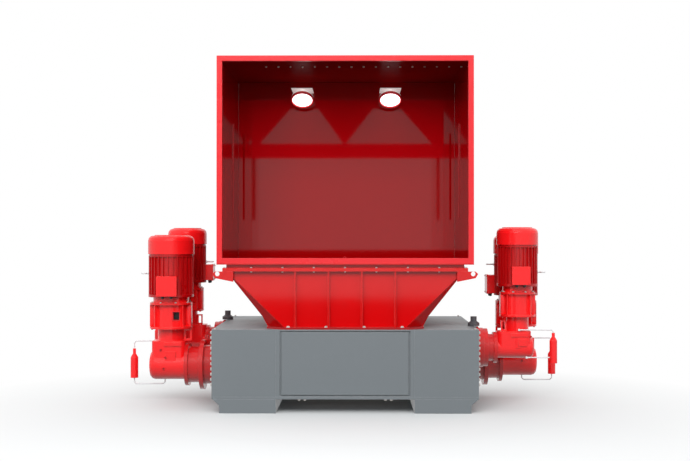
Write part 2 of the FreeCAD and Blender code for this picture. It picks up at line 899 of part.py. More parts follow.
def make_hopper_rim():
    body = new_body("hopper_front_rim")
    outline = new_sketch(body, "rim_outline", "XZ_Plane", half_depth - size.hopper_frame)
    draw_line(outline, block_outline(-hopper_half, hopper_half, size.hopper_floor,
                                     size.hopper_top))
    draw_line(outline, block_outline(-hopper_inside, hopper_inside,
                                     size.hopper_floor + size.hopper_frame, ceiling))
    pad(body, "rim_pad", outline, size.hopper_frame)
    return keep(body, "hopper_front_rim")


def make_hopper_side(label, turn_side):
    # Flat skin with upright stiffeners outside
    body = new_body(label)
    low_z = size.hopper_floor
    inner = hopper_inside
    skin = size.hopper_skin
    side = turn_side
    outline = new_sketch(body, label + "_outline", "XY_Plane", low_z)
    near, far = side * inner, side * (inner + skin)
    points = [(near, hopper_front), (far, hopper_front), (far, hopper_rear), (near, hopper_rear)]
    draw_line(outline, points)
    pad(body, label + "_skin", outline, ceiling - low_z)
    rib = new_sketch(body, label + "_rib", "XY_Plane", low_z)
    rib_end = hopper_rear - size.hopper_frame
    tip = side * hopper_half
    root = side * (inner + skin / 2)
    draw_line(rib, [(root, rib_end), (tip, rib_end), (tip, rib_end + size.rib_thickness),
                    (root, rib_end + size.rib_thickness)])
    stiffener = pad(body, label + "_rib_pad", rib, ceiling - low_z)
    row = row_of(body, label + "_ribs", [stiffener], rib, "V_Axis", 3 * size.hopper_rib_pitch, 4)
    row.Reversed = True
    return keep(body, label)


def make_hopper_back():
    body = new_body("hopper_back_wall")
    low_z = size.hopper_floor
    gap = size.seat_gap
    outline = new_sketch(body, "back_outline", "XY_Plane", low_z)
    draw_line(outline, block_outline(-hopper_inside + gap, hopper_inside - gap,
                                     size.hopper_back, size.hopper_back + size.hopper_skin))
    pad(body, "back_skin", outline, ceiling - low_z)
    rib = new_sketch(body, "back_rib", "XY_Plane", low_z)
    start = -2.5 * size.hopper_rib_pitch - size.rib_thickness / 2
    root = size.hopper_back + size.hopper_skin / 2
    draw_line(rib, block_outline(start, start + size.rib_thickness, root, hopper_rear))
    stiffener = pad(body, "back_rib_pad", rib, ceiling - low_z)
    row_of(body, "back_ribs", [stiffener], rib, "H_Axis", 5 * size.hopper_rib_pitch, 6)
    return keep(body, "hopper_back_wall")


def make_hopper_roof():
    body = new_body("hopper_roof")
    outline = new_sketch(body, "roof_outline", "XY_Plane", ceiling)
    draw_line(outline, block_outline(-hopper_half, hopper_half, hopper_front, hopper_rear))
    pad(body, "roof_skin", outline, size.hopper_skin)
    rib = new_sketch(body, "roof_rib", "YZ_Plane")
    middle_y = (hopper_front + hopper_rear) / 2
    start = middle_y - 1.5 * size.hopper_rib_pitch
    draw_line(rib, block_outline(start, start + size.rib_thickness, ceiling + 1, size.hopper_top))
    stiffener = pad(body, "roof_rib_pad", rib, 2 * hopper_half, middle=True)
    row_of(body, "roof_ribs", [stiffener], rib, "H_Axis", 3 * size.hopper_rib_pitch, 4)
    return keep(body, "hopper_roof")


def make_wall_strips():
    strips = []
    low_y = size.wall_strip_place
    face = hopper_inside - size.wall_strip_proud
    for name, near, far in (("left", -hopper_inside, -face), ("right", face, hopper_inside)):
        strips.append(block(f"{name}_wall_strip", near, far, low_y, low_y + size.wall_strip_width,
                            size.hopper_floor + size.wall_strip_rise,
                            ceiling - size.wall_strip_drop))
    return keep(group("wall_strips", strips), "wall_strips")


def make_floodlight(label, side):
    # Round lamp head tilted down, on a bracket that is fixed to the back wall
    body = new_body(label + "_lamp")
    face = new_sketch(body, label + "_face", "XZ_Plane")
    reach = size.lamp_from_back
    head_points = [(0, 0), (size.lamp_radius, 0)]
    head_points += [(size.lamp_radius, size.lamp_depth / 2)]
    head_points += [(size.lamp_radius / 2, size.lamp_depth), (0, size.lamp_depth)]
    draw_line(face, head_points)
    revolve(body, label + "_head", face, "V_Axis")
    middle = side * size.lamp_offset
    middle_y = size.hopper_back - reach
    height = ceiling - size.lamp_drop
    place(body, middle, middle_y, height, turn=-lamp_tilt, axis=Vector(1, 0, 0))
    lift = height + size.lamp_bracket_rise
    half = size.lamp_bracket_width / 2
    arm = block(label + "_arm", middle - half, middle + half, middle_y - size.lamp_bracket_lead,
                size.hopper_back, lift, lift + size.lamp_bracket_thickness)
    half_stem = size.lamp_stem_width / 2
    stem = block(label + "_stem", middle - half_stem, middle + half_stem, middle_y,
                 middle_y + size.lamp_stem_depth, height + size.lamp_depth / 4,
                 lift + size.lamp_bracket_thickness / 2)
    return fuse(label, [body, arm, stem])


def make_drive(letter, kind, side, offset, height, box_turn):
    # kind picks the sizes of the inner or the outer drive. The drive is drawn with its shaft
    # pointing along +X from the side of the body, and turned round for the left side.
    # box_turn is the angle from -Y to the side of the motor that holds the terminal box.
    def own(name):
        return size.named(f"{kind}_{name}")

    turn = 0 if side > 0 else 180
    start_x = side * half_length
    motor_x = start_x + side * own("motor_place")
    names = {key: f"{key}_{letter}" for key in ("bearing_housing", "gearbox", "lantern",
                                               "motor", "fan_cowl")}

    def seat(body):
        return place(body, start_x, offset, height, turn=turn)

    # Bearing housing: stepped flanges between the body and the gearbox
    body = new_body(names["bearing_housing"])
    profile = new_sketch(body, f"housing_profile_{letter}", "XZ_Plane")
    draw_line(profile, [
        (0, 0), (own("front_plate_reach"), 0),
        (own("front_plate_reach"), own("front_plate_radius")),
        (own("ring_reach"), own("front_plate_radius")),
        (own("ring_reach"), own("ring_radius")),
        (own("plate_reach"), own("ring_radius")),
        (own("plate_reach"), own("plate_radius")),
        (own("housing_reach"), own("plate_radius")),
        (own("housing_reach"), own("housing_radius") - size.housing_step),
        (own("housing_reach") / 2, own("housing_radius") - size.housing_step),
        (own("housing_reach") / 2, own("housing_radius")),
        (0, own("housing_radius")),
    ])
    revolve(body, f"housing_turning_{letter}", profile, "H_Axis")
    keep(seat(body), names["bearing_housing"])

    # Gearbox: barrel on the shaft axis, upper casting, the neck under the lantern and an ear
    body = new_body(names["gearbox"])
    profile = new_sketch(body, f"gearbox_profile_{letter}", "XZ_Plane")
    start = own("front_plate_reach")
    end = own("gearbox_reach")
    radius = own("gearbox_radius")
    corner = cut_corner(end, radius, barrel_rounding * radius)
    draw_line(profile, [(start, 0), (end, 0)] + corner + [(start, radius)])
    revolve(body, f"gearbox_barrel_{letter}", profile, "H_Axis")
    casting = new_sketch(body, f"gearbox_casting_{letter}", "XY_Plane")
    half = own("gearbox_width") / 2
    rise = own("gearbox_rise")
    casting_end = end - size.casting_end_room
    draw_line(casting, block_outline(start, casting_end, -half, half, size.casting_corner))
    pad(body, f"gearbox_casting_pad_{letter}", casting, rise)
    neck = new_sketch(body, f"gearbox_neck_{letter}", "XY_Plane")
    middle = own("motor_place")
    draw_circle(neck, middle, 0, own("neck_radius"))
    pad(body, f"gearbox_neck_pad_{letter}", neck, own("lantern_low") - height)
    raised = new_sketch(body, f"gearbox_raised_{letter}", "XZ_Plane")
    half_pad = own("pad_length") / 2
    draw_line(raised, block_outline(own("pad_place") - half_pad, own("pad_place") + half_pad,
                                    own("pad_low"), own("pad_high")))
    bar_low = rise - size.casting_bar_drop
    bar_end = own("bar_start") + own("bar_length")
    draw_line(raised, block_outline(own("bar_start"), bar_end, bar_low,
                                    bar_low + size.casting_bar_height))
    raised_width = 2 * (half + size.casting_pad_proud)
    pad(body, f"gearbox_raised_pad_{letter}", raised, raised_width, middle=True)
    ear = new_sketch(body, f"gearbox_ear_{letter}", "XZ_Plane")
    ear_end = middle - own("ear_reach")
    neck_edge = middle - own("neck_radius")
    margin = (neck_edge - ear_end) / 4
    ear_top = rise + own("ear_rise")
    draw_line(ear, block_outline(ear_end, neck_edge + margin, rise - size.weld_sink, ear_top))
    draw_line(ear, block_outline(ear_end + margin, neck_edge - margin, rise + margin,
                                 ear_top - margin))
    pad(body, f"gearbox_ear_pad_{letter}", ear, size.ear_thickness, middle=True)
    keep(seat(body), names["gearbox"])

    # Lantern: drum between two flanges, with upright ribs and an inspection window
    body = new_body(names["lantern"])
    profile = new_sketch(body, f"lantern_profile_{letter}", "XZ_Plane")
    low = own("lantern_low") - height
    high = own("motor_low") - height
    deck = own("lantern_high") - height
    flange = own("lantern_flange")
    drum = own("lantern_drum")
    thick = size.lantern_flange_thickness
    draw_line(profile, [
        (0, low), (flange, low), (flange, low + thick), (drum, low + thick),
        (drum, deck - thick), (flange, deck - thick), (flange, deck),
        (drum + size.lantern_deck_step, deck), (drum + size.lantern_deck_step, high), (0, high),
    ])
    revolve(body, f"lantern_turning_{letter}", profile, "V_Axis")
    rib = new_sketch(body, f"lantern_rib_{letter}", "XY_Plane", low + thick / 2)
    half_rib = size.lantern_rib_thickness / 2
    short = math.sqrt(0.5)
    level = block_outline(drum - size.weld_sink, flange - size.lantern_rib_inset, -half_rib,
                          half_rib)
    draw_line(rib, [(short * (along - across), short * (along + across))
                    for along, across in level])
    web = pad(body, f"lantern_rib_pad_{letter}", rib, deck - low - thick)
    ring_of(body, f"lantern_ribs_{letter}", [web], rib, lantern_ribs)
    window = new_sketch(body, f"lantern_window_{letter}", "XZ_Plane", drum - size.window_depth)
    half_window = size.window_width / 2
    sill = (low + deck) / 2 - size.window_height / 2
    draw_line(window, block_outline(size.window_offset - half_window,
                                    size.window_offset + half_window, sill,
                                    sill + size.window_height))
    pocket(body, f"lantern_window_cut_{letter}", window, 2 * size.window_depth, backward=True)
    place(body, motor_x, offset, height, turn=0 if side < 0 else 180)
    keep(body, names["lantern"])

    # Motor: finned barrel
    body = new_body(names["motor"])
    low = own("motor_low")
    high = own("motor_high")
    radius = own("motor_radius")
    core = radius - size.fin_depth
    profile = new_sketch(body, f"motor_profile_{letter}", "XZ_Plane")
    shield = size.end_shield_height
    lip = size.end_shield_step
    draw_line(profile, [
        (0, low), (radius, low), (radius, low + shield), (core, low + shield),
        (core, high - shield), (radius - lip, high - shield), (radius - lip, high), (0, high),
    ])
    revolve(body, f"motor_turning_{letter}", profile, "V_Axis")
    fin = new_sketch(body, f"motor_fin_{letter}", "XY_Plane", low + shield / 2)
    half_fin = size.fin_thickness / 2
    draw_line(fin, block_outline(core - size.weld_sink, radius - size.rib_setback, -half_fin,
                                 half_fin))
    blade = pad(body, f"motor_fin_pad_{letter}", fin, high - low - shield)
    ring_of(body, f"motor_fins_{letter}", [blade], fin, fins_per_motor)
    half_box = own("box_width") / 2
    box_edges = (-half_box, half_box, own("box_low"), own("box_high"))
    pedestal = new_sketch(body, f"motor_pedestal_{letter}", "XZ_Plane")
    draw_line(pedestal, block_outline(*box_edges))
    pad(body, f"motor_pedestal_pad_{letter}", pedestal, radius + size.pedestal_proud)
    place(body, motor_x, offset, 0, turn=box_turn)
    keep(body, names["motor"])

    # Fan cowl: domed cap over the fan
    body = new_body(names["fan_cowl"])
    profile = new_sketch(body, f"cowl_profile_{letter}", "XZ_Plane")
    cowl = own("cowl_radius")
    top = own("cowl_high")
    corner = cut_corner(cowl, top, size.cowl_corner)
    draw_line(profile, [(0, high), (cowl, high)] + corner + [(0, top)])
    revolve(body, f"cowl_turning_{letter}", profile, "V_Axis")
    place(body, motor_x, offset, 0)
    keep(body, names["fan_cowl"])

    # Oil tank that stands beside the gearbox
    tank = new_body(f"oil_tank_{letter}")
    profile = new_sketch(tank, f"tank_profile_{letter}", "XZ_Plane")
    can = own("tank_radius")
    neck_radius = size.tank_neck_radius
    shoulder = own("tank_shoulder")
    draw_line(profile, [
        (0, own("tank_low")), (can, own("tank_low")), (can, shoulder),
        (neck_radius, shoulder + can), (neck_radius, own("tank_high")), (0, own("tank_high")),
    ])
    revolve(tank, f"tank_turning_{letter}", profile, "V_Axis")
    tank_y = offset
    if kind == "outer":
        tank_y = offset - side * size.outer_pipe_side
    place(tank, start_x + side * own("tank_place"), tank_y, 0)

    # Terminal box on the pedestal of the motor
    terminal = new_body(f"terminal_box_{letter}")
    rim = size.box_lid_lip
    lid = size.box_lid_thickness
    back = radius + size.pedestal_proud
    wall = new_sketch(terminal, f"box_wall_{letter}", "XZ_Plane", back)
    draw_line(wall, block_outline(*box_edges))
    pad(terminal, f"box_wall_pad_{letter}", wall, size.box_depth)
    cover = new_sketch(terminal, f"box_lid_{letter}", "XZ_Plane", back + size.box_depth - lid)
    draw_line(cover, block_outline(-half_box - rim, half_box + rim, own("box_low") - rim,
                                   own("box_high") + rim))
    pad(terminal, f"box_lid_pad_{letter}", cover, lid)
    place(terminal, motor_x, offset, 0, turn=box_turn)
    return tank, terminal


def make_pipe(name, points, x, y, turn):
    # Many-sided tube along level and upright runs, with each bend as one slanted cut
    body = new_body(name)
    spine = new_sketch(body, name + "_spine", "XZ_Plane")
    path = [points[0]]
    for before, corner, after in zip(points, points[1:], points[2:]):
        for other in (before, after):
            step_x, step_z = toward(corner, other)
            path.append((corner[0] + size.pipe_bend * step_x, corner[1] + size.pipe_bend * step_z))
    path.append(points[-1])
    draw_line(spine, path, closed=False)
    first_level = abs(float(points[0][1]) - float(points[1][1])) < 0.001
    role = "YZ_Plane" if first_level else "XY_Plane"
    ring = new_sketch(body, name + "_ring", role, points[0][0] if first_level else points[0][1])
    if first_level:
        draw_line(ring, ring_outline(size.pipe_radius, pipe_sides, 0, points[0][1]))
    else:
        draw_line(ring, ring_outline(size.pipe_radius, pipe_sides, points[0][0], 0))
    tube = body.newObject("PartDesign::AdditivePipe", name + "_tube")
    tube.Profile = ring
    tube.Spine = (spine, [])
    tube.Transition = "Right corner"
    body.Tip = tube
    return place(body, x, y, 0, turn=turn)


def make_fitting(name, x, z, y_from, y_to, seat_x, seat_y, turn):
    # Short bar that joins a pipe end to the casting behind it
    body = new_body(name)
    outline = new_sketch(body, name + "_outline", "XZ_Plane", y_from)
    draw_line(outline, ring_outline(size.fitting_radius, pipe_sides, x, z))
    pad(body, name + "_pad", outline, y_to - y_from)
    return place(body, seat_x, seat_y, 0, turn=turn)


def make_drive_pipes(letter, kind, side, offset, height):
    # The inner drive has one loop over and under its tank. The outer drive has two pipes in
    # front of its gearbox, each with a fitting at its start.
    def own(name):
        return size.named(f"{kind}_{name}")

    turn = 0 if side > 0 else 180
    seat_x = side * half_length
    gap = size.seat_gap
    tank_x, pipe_high, pipe_low = own("tank_place"), own("pipe_high"), own("pipe_low")
    to_tank = [(tank_x, pipe_high), (tank_x, own("tank_high") + gap)]
    if kind == "inner":
        foot = own("pipe_foot")
        start = own("gearbox_reach") - size.casting_end_room + gap
        low = [(tank_x, own("tank_low") - gap), (tank_x, pipe_low), (foot, pipe_low),
               (foot, height - own("gearbox_radius") - gap)]
        return [make_pipe(f"top_pipe_{letter}", [(start, pipe_high)] + to_tank, seat_x, offset, turn),
                make_pipe(f"low_pipe_{letter}", low, seat_x, offset, turn)]
    lane = offset - side * own("pipe_side")
    end = own("pipe_side") + size.fitting_radius
    casting = own("gearbox_width") / 2
    starts = [("top", own("motor_place"), pipe_high, own("neck_radius"), to_tank),
              ("low", own("pipe_foot"), pipe_low, casting,
               [(tank_x - own("tank_radius") - gap, pipe_low)])]
    joined = []
    for word, x, z, face, path in starts:
        pipe = make_pipe(f"{word}_pipe_{letter}", [(x, z)] + path, seat_x, lane, turn)
        fitting = make_fitting(f"{word}_fitting_{letter}", x, z, face + gap, end, seat_x, offset,
                               turn)
        joined.append(fuse(f"{word}_line_{letter}", [pipe, fitting]))
    return joined


def make_drives():
    tanks = []
    boxes = []
    pipes = []
    inner_y, outer_y = inner_shaft_offset, outer_shaft_offset
    inner_z, outer_z = size.inner_shaft_height, size.outer_shaft_height
    layout = [("a", "inner", -1, -inner_y, inner_z, 0), ("b", "outer", 1, -outer_y, outer_z, 0),
              ("c", "outer", -1, outer_y, outer_z, 90), ("d", "inner", 1, inner_y, inner_z, -90)]
    for letter, kind, side, offset, height, box_turn in layout:
        tank, terminal = make_drive(letter, kind, side, offset, height, box_turn)
        tanks.append(tank)
        boxes.append(terminal)
        pipes += make_drive_pipes(letter, kind, side, offset, height)
    keep(group("oil_tanks", tanks), "oil_tanks")
    keep(group("terminal_boxes", boxes), "terminal_boxes")
    keep(group("oil_pipes", pipes), "oil_pipes")


def make_lubricators():
    pots = []
    for name, side in (("left", -1), ("right", 1)):
        body = new_body(f"{name}_lubricator")
        profile = new_sketch(body, f"{name}_lubricator_profile", "XZ_Plane")
        base = size.lubricator_base
        cap = size.lubricator_cap_radius
        draw_line(profile, [(0, 0), (size.lubricator_radius, 0),
                            (size.lubricator_radius, size.lubricator_foot), (cap, base),
                            (cap, size.lubricator_height), (0, size.lubricator_height)])
        revolve(body, f"{name}_lubricator_turning", profile, "V_Axis")
        place(body, side * half_length, -side * outer_shaft_offset, body_top)
        pots.append(body)
    return keep(group("lubricators", pots), "lubricators")


def make_machine():
    make_base_plate()
    make_skid("right_skid", 0)
    make_skid("left_skid", 180)
    make_bearing_box("right_bearing_box", 0)
    make_bearing_box("left_bearing_box", 180)
    make_long_wall("front_wall", 0)
    make_long_wall("rear_wall", 180)
    inner = (size.inner_cutter_radius, inner_spacer_radius)
    outer = (size.outer_cutter_radius, size.outer_spacer_radius)
    inner_y, outer_y = inner_shaft_offset, outer_shaft_offset
    inner_z, outer_z = size.inner_shaft_height, size.outer_shaft_height
    make_cutter_shaft("shaft_a", -inner_y, inner_z, *inner, 0)
    make_cutter_shaft("shaft_b", -outer_y, outer_z, *outer, 1)
    make_cutter_shaft("shaft_c", outer_y, outer_z, *outer, 0)
    make_cutter_shaft("shaft_d", inner_y, inner_z, *inner, 1)
    make_end_caps()
    make_funnel_foot()
    make_funnel()
    make_funnel_top()
    make_lifting_lugs()
    make_hopper_base()
    make_hopper_rim()
    make_hopper_side("hopper_left_wall", -1)
    make_hopper_side("hopper_right_wall", 1)
    make_hopper_back()
    make_hopper_roof()
    make_wall_strips()
    keep(make_floodlight("left_floodlight", -1), "left_floodlight")
    keep(make_floodlight("right_floodlight", 1), "right_floodlight")
    make_drives()
    make_lubricators()


def check_document():
    # Stop if any object failed to build or any sub-part has no sound shape
    failed = [item.Name for item in doc.Objects if {"Invalid", "Error"} & set(item.State)]
    if failed:
        raise ValueError("failed objects: " + ", ".join(failed))
    for node in nodes:
        if node.Shape.isNull() or not node.Shape.isValid() or not node.Shape.Solids:
            raise ValueError("bad shape: " + node.Label)


make_machine()
doc.recompute()
check_document()
os.makedirs("parts", exist_ok=True)
for node in nodes:
    node.Shape.exportStep(f"parts/{node.Label}.step")
print(f"{len(nodes)} sub-parts written")
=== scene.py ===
import math

import bmesh
import bpy
from mathutils import Matrix, Vector


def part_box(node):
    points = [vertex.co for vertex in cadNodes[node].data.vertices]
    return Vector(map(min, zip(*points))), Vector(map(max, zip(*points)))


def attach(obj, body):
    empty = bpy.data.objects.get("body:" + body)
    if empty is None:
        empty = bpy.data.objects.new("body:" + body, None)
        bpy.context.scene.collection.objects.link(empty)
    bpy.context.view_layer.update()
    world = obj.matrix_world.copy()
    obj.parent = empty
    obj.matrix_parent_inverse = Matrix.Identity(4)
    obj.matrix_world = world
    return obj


# Four shaft shredder: red hopper and funnel on a grey cutting chamber with four gearmotors.
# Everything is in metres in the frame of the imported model: +Z up, hopper mouth towards -Y.

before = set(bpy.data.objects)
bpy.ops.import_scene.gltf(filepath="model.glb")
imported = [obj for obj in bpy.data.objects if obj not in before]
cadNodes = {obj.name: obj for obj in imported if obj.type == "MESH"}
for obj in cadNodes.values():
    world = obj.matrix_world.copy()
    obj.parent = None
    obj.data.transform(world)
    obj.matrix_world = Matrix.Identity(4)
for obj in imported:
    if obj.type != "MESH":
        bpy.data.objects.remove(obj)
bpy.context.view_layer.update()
print("frame loaded:", len(cadNodes), "nodes")


def seen(red, green, blue):
    # Colour as read from a screen, 0 to 255, turned to the linear values of the shaders
    shares = [value / 255 for value in (red, green, blue)]
    return [s / 12.92 if s <= 0.04045 else ((s + 0.055) / 1.055) ** 2.4 for s in shares] + [1.0]


# Camera
cameraSettings = {
    "place": (0.105, -11.5, 1.62),
    "aim": (-0.010, 0.0, 1.688),
    "lens": 60.0,
    "sensor": 36.0,
}


def addCamera(settings):
    lens = bpy.data.cameras.new("camera")
    lens.lens = settings["lens"]
    lens.sensor_width = settings["sensor"]
    camera = bpy.data.objects.new("camera", lens)
    bpy.context.scene.collection.objects.link(camera)
    place = Vector(settings["place"])
    camera.location = place
    camera.rotation_mode = "QUATERNION"
    camera.rotation_quaternion = (Vector(settings["aim"]) - place).to_track_quat("-Z", "Y")
    bpy.context.scene.camera = camera


addCamera(cameraSettings)
bpy.context.scene.view_settings.view_transform = "Standard"
print("camera ready")


# Small tools for node trees
def addNode(tree, kind, **values):
    made = tree.nodes.new(kind)
    made.location = (220 * len(tree.nodes), 0)
    for name, value in values.items():
        setattr(made, name, value)
    return made


def feed(tree, socket, value):
    # A socket takes another socket, a number or a colour
    if isinstance(value, bpy.types.NodeSocket):
        tree.links.new(value, socket)
    else:
        socket.default_value = value


def calculate(tree, operation, first, second=0.0, clamp=False):
    made = addNode(tree, "ShaderNodeMath", operation=operation, use_clamp=clamp)
    feed(tree, made.inputs[0], first)
    feed(tree, made.inputs[1], second)
    return made.outputs[0]


def blendColours(tree, share, first, second):
    made = addNode(tree, "ShaderNodeMix", data_type="RGBA")
    feed(tree, made.inputs["Factor"], share)
    feed(tree, made.inputs[6], first)
    feed(tree, made.inputs[7], second)
    return made.outputs[2]


def remap(tree, value, fromLow, fromHigh, toLow, toHigh):
    made = addNode(tree, "ShaderNodeMapRange")
    for number, item in enumerate((value, fromLow, fromHigh, toLow, toHigh)):
        feed(tree, made.inputs[number], item)
    return made.outputs[0]


def noise(tree, place, size, detail=3.0, roughness=0.55):
    made = addNode(tree, "ShaderNodeTexNoise")
    feed(tree, made.inputs["Vector"], place)
    feed(tree, made.inputs["Scale"], size)
    made.inputs["Detail"].default_value = detail
    made.inputs["Roughness"].default_value = roughness
    return made.outputs["Fac"]


def newGroup(name, inputs, outputs):
    group = bpy.data.node_groups.new(name, "ShaderNodeTree")
    for label, kind in inputs:
        group.interface.new_socket(label, in_out="INPUT", socket_type="NodeSocket" + kind)
    for label, kind in outputs:
        group.interface.new_socket(label, in_out="OUTPUT", socket_type="NodeSocket" + kind)
    entry = group.nodes.new("NodeGroupInput")
    leave = group.nodes.new("NodeGroupOutput")
    return group, entry.outputs, leave.inputs


def useGroup(tree, group, **values):
    made = addNode(tree, "ShaderNodeGroup", node_tree=group)
    for name, value in values.items():
        feed(tree, made.inputs[name], value)
    return made.outputs


# Effects that several finishes share
def makeToneGroup():
    # Slow drift in a colour's depth, as sprayed and handled surfaces have
    group, given, wanted = newGroup(
        "toneDrift",
        [("Place", "Vector"), ("Colour", "Color"), ("Depth", "Float"), ("Size", "Float")],
        [("Colour", "Color"), ("Mask", "Float")])
    broad = noise(group, given["Place"], given["Size"])
    fine = noise(group, given["Place"], calculate(group, "MULTIPLY", given["Size"], 9.0), 5.0)
    both = calculate(group, "ADD", calculate(group, "MULTIPLY", broad, 0.7),
                     calculate(group, "MULTIPLY", fine, 0.3))
    mask = remap(group, both, 0.3, 0.7, 0.0, 1.0)
    darker = addNode(group, "ShaderNodeHueSaturation")
    feed(group, darker.inputs["Color"], given["Colour"])
    feed(group, darker.inputs["Value"], calculate(group, "SUBTRACT", 1.0, given["Depth"]))
    colour = blendColours(group, mask, darker.outputs["Color"], given["Colour"])
    group.links.new(colour, wanted["Colour"])
    group.links.new(mask, wanted["Mask"])
    return group


def makeEdgeGroup():
    # Softened corners, and a mask of the outer edges that the finishes paint lighter: painted
    # highlight along the edges of the paints, worn bright metal on the steels
    group, given, wanted = newGroup(
        "edgeSoften",
        [("Place", "Vector"), ("Radius", "Float")],
        [("Mask", "Float"), ("Normal", "Vector")])
    rounding = addNode(group, "ShaderNodeBevel", samples=6)
    feed(group, rounding.inputs["Radius"], given["Radius"])
    flat = addNode(group, "ShaderNodeNewGeometry")
    alike = addNode(group, "ShaderNodeVectorMath", operation="DOT_PRODUCT")
    group.links.new(rounding.outputs["Normal"], alike.inputs[0])
    group.links.new(flat.outputs["Normal"], alike.inputs[1])
    edge = remap(group, alike.outputs["Value"], 0.995, 0.93, 0.0, 1.0)
    patches = noise(group, given["Place"], 14.0, 5.0)
    broken = remap(group, patches, 0.35, 0.62, 0.25, 1.0)
    group.links.new(calculate(group, "MULTIPLY", edge, broken), wanted["Mask"])
    group.links.new(rounding.outputs["Normal"], wanted["Normal"])
    return group


def makeGrainGroup():
    # Fine surface height: the peel of sprayed paint or the grain of cast metal
    group, given, wanted = newGroup(
        "surfaceGrain", [("Place", "Vector"), ("Size", "Float")], [("Height", "Float")])
    fine = noise(group, given["Place"], given["Size"], 2.0)
    broad = noise(group, given["Place"], calculate(group, "MULTIPLY", given["Size"], 0.16), 2.0)
    group.links.new(calculate(group, "ADD", calculate(group, "MULTIPLY", fine, 0.35), broad),
                    wanted["Height"])
    return group


def makeDustGroup():
    # Thin dust that settles on faces that look up
    group, given, wanted = newGroup(
        "settledDust", [("Place", "Vector"), ("Amount", "Float")], [("Mask", "Float")])
    shape = addNode(group, "ShaderNodeNewGeometry")
    parts = addNode(group, "ShaderNodeSeparateXYZ")
    group.links.new(shape.outputs["Normal"], parts.inputs[0])
    upward = remap(group, parts.outputs["Z"], 0.55, 0.95, 0.0, 1.0)
    patches = remap(group, noise(group, given["Place"], 5.0, 6.0), 0.35, 0.7, 0.3, 1.0)
    spread = calculate(group, "MULTIPLY", upward, patches)
    group.links.new(calculate(group, "MULTIPLY", spread, given["Amount"]), wanted["Mask"])
    return group


toneGroup = makeToneGroup()
edgeGroup = makeEdgeGroup()
grainGroup = makeGrainGroup()
dustGroup = makeDustGroup()


dustColour = seen(172, 168, 165)


def makeFinish(name, look):
    # One painted or metal finish from its dictionary
    material = bpy.data.materials.new(name)
    material.use_nodes = True
    tree = material.node_tree
    tree.nodes.clear()
    place = addNode(tree, "ShaderNodeTexCoord").outputs["Object"]
    tone = useGroup(tree, toneGroup, Place=place, Colour=look["colour"], Depth=look["drift"],
                    Size=look["driftSize"])
    edge = useGroup(tree, edgeGroup, Place=place, Radius=look["edgeRadius"])
    # Outer edges take the lighter edge colour: painted highlight on the paints, real wear on the
    # steels
    edgeLightAndWear = calculate(tree, "MULTIPLY", edge["Mask"], look["edgeHighlightAndWear"])
    colour = blendColours(tree, edgeLightAndWear, tone["Colour"], look["edgeColour"])
    dust = useGroup(tree, dustGroup, Place=place, Amount=look["dust"])
    colour = blendColours(tree, dust["Mask"], colour, dustColour)
    rough = remap(tree, tone["Mask"], 0.0, 1.0, look["roughness"] * 1.25, look["roughness"] * 0.85)
    rough = calculate(tree, "ADD", rough, calculate(tree, "MULTIPLY", dust["Mask"], 0.5), True)
    grain = useGroup(tree, grainGroup, Place=place, Size=look["grainSize"])
    bump = addNode(tree, "ShaderNodeBump")
    bump.inputs["Strength"].default_value = look["grain"]
    bump.inputs["Distance"].default_value = 0.001
    tree.links.new(grain["Height"], bump.inputs["Height"])
    tree.links.new(edge["Normal"], bump.inputs["Normal"])
    shader = addNode(tree, "ShaderNodeBsdfPrincipled")
    shader.inputs["Metallic"].default_value = look.get("metal", 0.0)
    shader.inputs["IOR"].default_value = look.get("ior", 1.5)
    shader.inputs["Emission Strength"].default_value = look.get("glow", 0.0)
    if look.get("glow"):
        tree.links.new(colour, shader.inputs["Emission Color"])
    tree.links.new(colour, shader.inputs["Base Color"])
    tree.links.new(rough, shader.inputs["Roughness"])
    tree.links.new(bump.outputs["Normal"], shader.inputs["Normal"])
    output = addNode(tree, "ShaderNodeOutputMaterial")
    tree.links.new(shader.outputs["BSDF"], output.inputs["Surface"])
    return material


